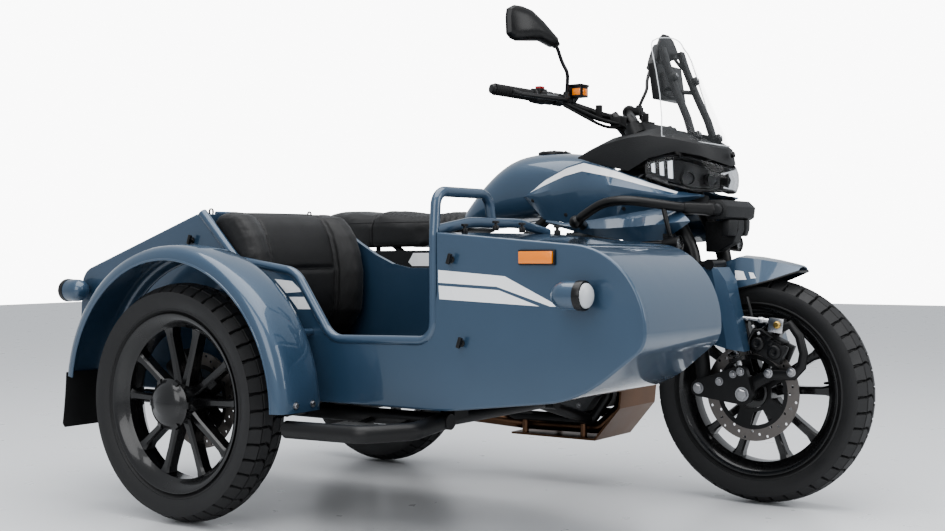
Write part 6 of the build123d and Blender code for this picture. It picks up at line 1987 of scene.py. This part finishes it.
@dataclass
class Tail:
    """The side covers' patches, the tail lamp's glass and the number plate holder's edges."""

    cover_y: float = 132.0

    def build(self) -> None:
        """Build the tail's trim."""
        patches = Form()
        outline = [(214, 366), (235, 396), (305, 396), (304, 353), (230, 353)]
        for side in (1, -1):
            patches.slab([(x, side * (self.cover_y + 0.2), z) for x, z in outline], (0, side * 0.6, 0))
        place("side_cover_patches", patches.done("side_cover_patches"), "chassis", [WHITE])
        lamp = Form()
        lamp.rod([(-184, -58, 446), (-190, -58, 462), (-176, -58, 490), (-176, 58, 490), (-190, 58, 462),
                  (-184, 58, 446), (-184, -58, 446)], 4.0, 10)
        for side in (1, -1):
            lamp.rod([(-150, side * 64, 440), (-164, side * 128, 440)], 7.0, 12)
            lamp.spin((-164, side * 134, 440), (-1, 0, 0),
                      [(-34, 0), (-30, 12), (-8, 19), (4, 19), (4, 0)], 24)
        lamp.coat = 1
        for side in (1, -1):
            lamp.spin((-168, side * 134, 440), (-1, 0, 0), [(0, 0), (0, 17.5), (6, 16), (10, 8), (11, 0)],
                      24)
        lamp.coat = 2
        for y in (-75, 75):
            hex_bolt(lamp, (-362, y, 178), (-1, 0, 0), 5.5, 5)
        place("tail_trim", lamp.done("tail_trim", 32), "chassis", [SMOOTH_PLASTIC, AMBER, ZINC])


@dataclass
class Studio:
    """The pale floor, the soft lights and the camera at the photograph's angle."""

    lens: float = 50.0
    spot: Spot = (2.2211, -3.1763, 0.7185)
    yaw: float = 125.1886
    pitch: float = -0.5945
    roll: float = -0.3007
    floor_half: float = 14.0
    air_strength: float = 0.7
    wall_strength: float = 5.0
    look: str = "AgX - Medium High Contrast"

    def camera(self) -> None:
        """Set up the camera."""
        yaw, pitch, roll = (math.radians(value) for value in (self.yaw, self.pitch, self.roll))
        ahead = Vector((math.cos(pitch) * math.cos(yaw), math.cos(pitch) * math.sin(yaw),
                        math.sin(pitch)))
        right = ahead.cross(Vector((0, 0, 1))).normalized()
        up = right.cross(ahead)
        across = right * math.cos(roll) + up * math.sin(roll)
        above = up * math.cos(roll) - right * math.sin(roll)
        data = bpy.data.cameras.new("photo_camera")
        data.lens = self.lens
        data.sensor_width = 36.0
        data.sensor_fit = "HORIZONTAL"
        camera = bpy.data.objects.new("photo_camera", data)
        pose = Matrix((across, above, -ahead)).transposed().to_4x4()
        pose.translation = Vector(self.spot)
        camera.matrix_world = pose
        bpy.context.scene.collection.objects.link(camera)
        bpy.context.scene.camera = camera

    def lights(self) -> None:
        """Hang a large soft light overhead, one from the side and an even sky."""
        world = bpy.data.worlds.new("studio_air")
        world.use_nodes = True
        tree = world.node_tree
        air = tree.nodes["Background"]
        air.inputs["Color"].default_value = (0.93, 0.96, 1.0, 1.0)
        air.inputs["Strength"].default_value = self.air_strength
        wall = tree.nodes.new("ShaderNodeBackground")
        wall.inputs["Color"].default_value = (1.0, 1.0, 1.0, 1.0)
        wall.inputs["Strength"].default_value = self.wall_strength
        seen = tree.nodes.new("ShaderNodeLightPath")
        mix = tree.nodes.new("ShaderNodeMixShader")
        tree.links.new(seen.outputs["Is Camera Ray"], mix.inputs[0])
        tree.links.new(air.outputs[0], mix.inputs[1])
        tree.links.new(wall.outputs[0], mix.inputs[2])
        tree.links.new(mix.outputs[0], tree.nodes["World Output"].inputs["Surface"])
        bpy.context.scene.world = world
        bpy.context.scene.view_settings.look = self.look
        for name, spot, target, size, power in (("overhead", (0.4, -0.6, 4.2), (0.1, 0, 0), 4.5, 190),
                                                ("side", (1.2, -4.6, 2.6), (0.2, 0, 0.5), 3.0, 70),
                                                ("front", (4.6, 0.6, 2.4), (0.6, 0, 0.5), 2.6, 60)):
            data = bpy.data.lights.new(name, "AREA")
            data.size = size
            data.energy = power
            light = bpy.data.objects.new(name, data)
            light.matrix_world = (Matrix.Translation(Vector(spot))
                                  @ (Vector(target) - Vector(spot)).to_track_quat("-Z",
                                          "Y").to_matrix().to_4x4())
            bpy.context.scene.collection.objects.link(light)

    def floor(self) -> None:
        """Lay the pale floor."""
        half = self.floor_half
        mesh = bpy.data.meshes.new("floor")
        mesh.from_pydata([(-half, -half, 0), (half, -half, 0), (half, half, 0), (-half, half, 0)], [],
                         [(0, 1, 2, 3)])
        floor = bpy.data.objects.new("floor", mesh)
        pale = Finish("pale_floor", "steel", (0.72, 0.73, 0.74), 0.30, bump=0.0, fade=0.02, rub=0.03)
        mesh.materials.append(pale.material())
        bpy.context.scene.collection.objects.link(floor)

    def build(self) -> None:
        """Set up the whole studio."""
        self.camera()
        self.lights()
        self.floor()


def main() -> None:
    """Build every sub-assembly in order."""
    logging.basicConfig(level=logging.INFO, format="%(message)s")
    dress({BLUE: ["sidecar_outer_panel", "sidecar_inner_panel", "sidecar_nose", "sidecar_tail",
                  "boot_lid",
                  "sidecar_bulkhead", "cockpit_rail", "sidecar_mudguard", "fuel_tank", "tank_panels"],
           BLACK: ["main_frame", "crash_bars", "sidecar_chassis", "chassis_struts", "sidecar_step",
                   "sidecar_arm",
                   "fork_legs", "leading_links", "handlebar", "swingarm", "sidecar_floor", "fork_clamps"],
           PLASTIC: ["front_cowl", "front_beak", "side_covers", "rear_mudguard", "bar_controls",
                     "mirrors"],
           SMOOTH_PLASTIC: ["screen_bracket", "radiator", "fog_lamps", "sidecar_lamps", "headlight"],
           RUBBER: ["grips", "mudflap"],
           HIDE: ["rider_seat", "sidecar_seat", "sidecar_backrest"],
           ALLOY: ["engine"], HOT_PIPE: ["exhaust", "skid_plate"], DARK_STEEL: ["drive_chain"],
           SCREEN: ["windscreen"], RED: ["tail_lamp"]})
    Wheel("front", FRONT_AXLE, 82.0, -74.0, 138.0).build()
    Wheel("rear", Vector((0, 0, 0)), 95.0, -81.0, 120.0, disc_node="rear_disc_sprocket").build()
    Wheel("sidecar", SIDE_AXLE, 59.0, 53.0, 130.0, capped=True).build()
    FrontEnd().build()
    Bars().build()
    Tank().build()
    FrontCowl().build()
    Seats().build()
    SidecarTrim().build()
    Drive().build()
    Tail().build()
    CoilShock("rear_coil_shock", "chassis", (432, 0, 100), (582, 0, 346), "rear_shock", coil=28.0,
              wire=5.0, turns=7).build()
    arm_y = BODY_OUT - 26
    CoilShock("sidecar_coil_shock", "chassis", (SIDE_AXLE.x + 70, arm_y, 14),
              (SIDE_AXLE.x + 96, arm_y, 330), "sidecar_shock",
              coil=18.0, wire=3.6, turns=9).build()
    pin = Form().rod([(SIDE_AXLE.x + 96, arm_y - 12, 326), (SIDE_AXLE.x + 96, BODY_OUT + 2, 326)], 9.0,
                     14)
    place("sidecar_shock_pin", pin.done("sidecar_shock_pin"), "chassis", [BLACK])
    Studio().build()


if __name__ == "__main__":
    main()
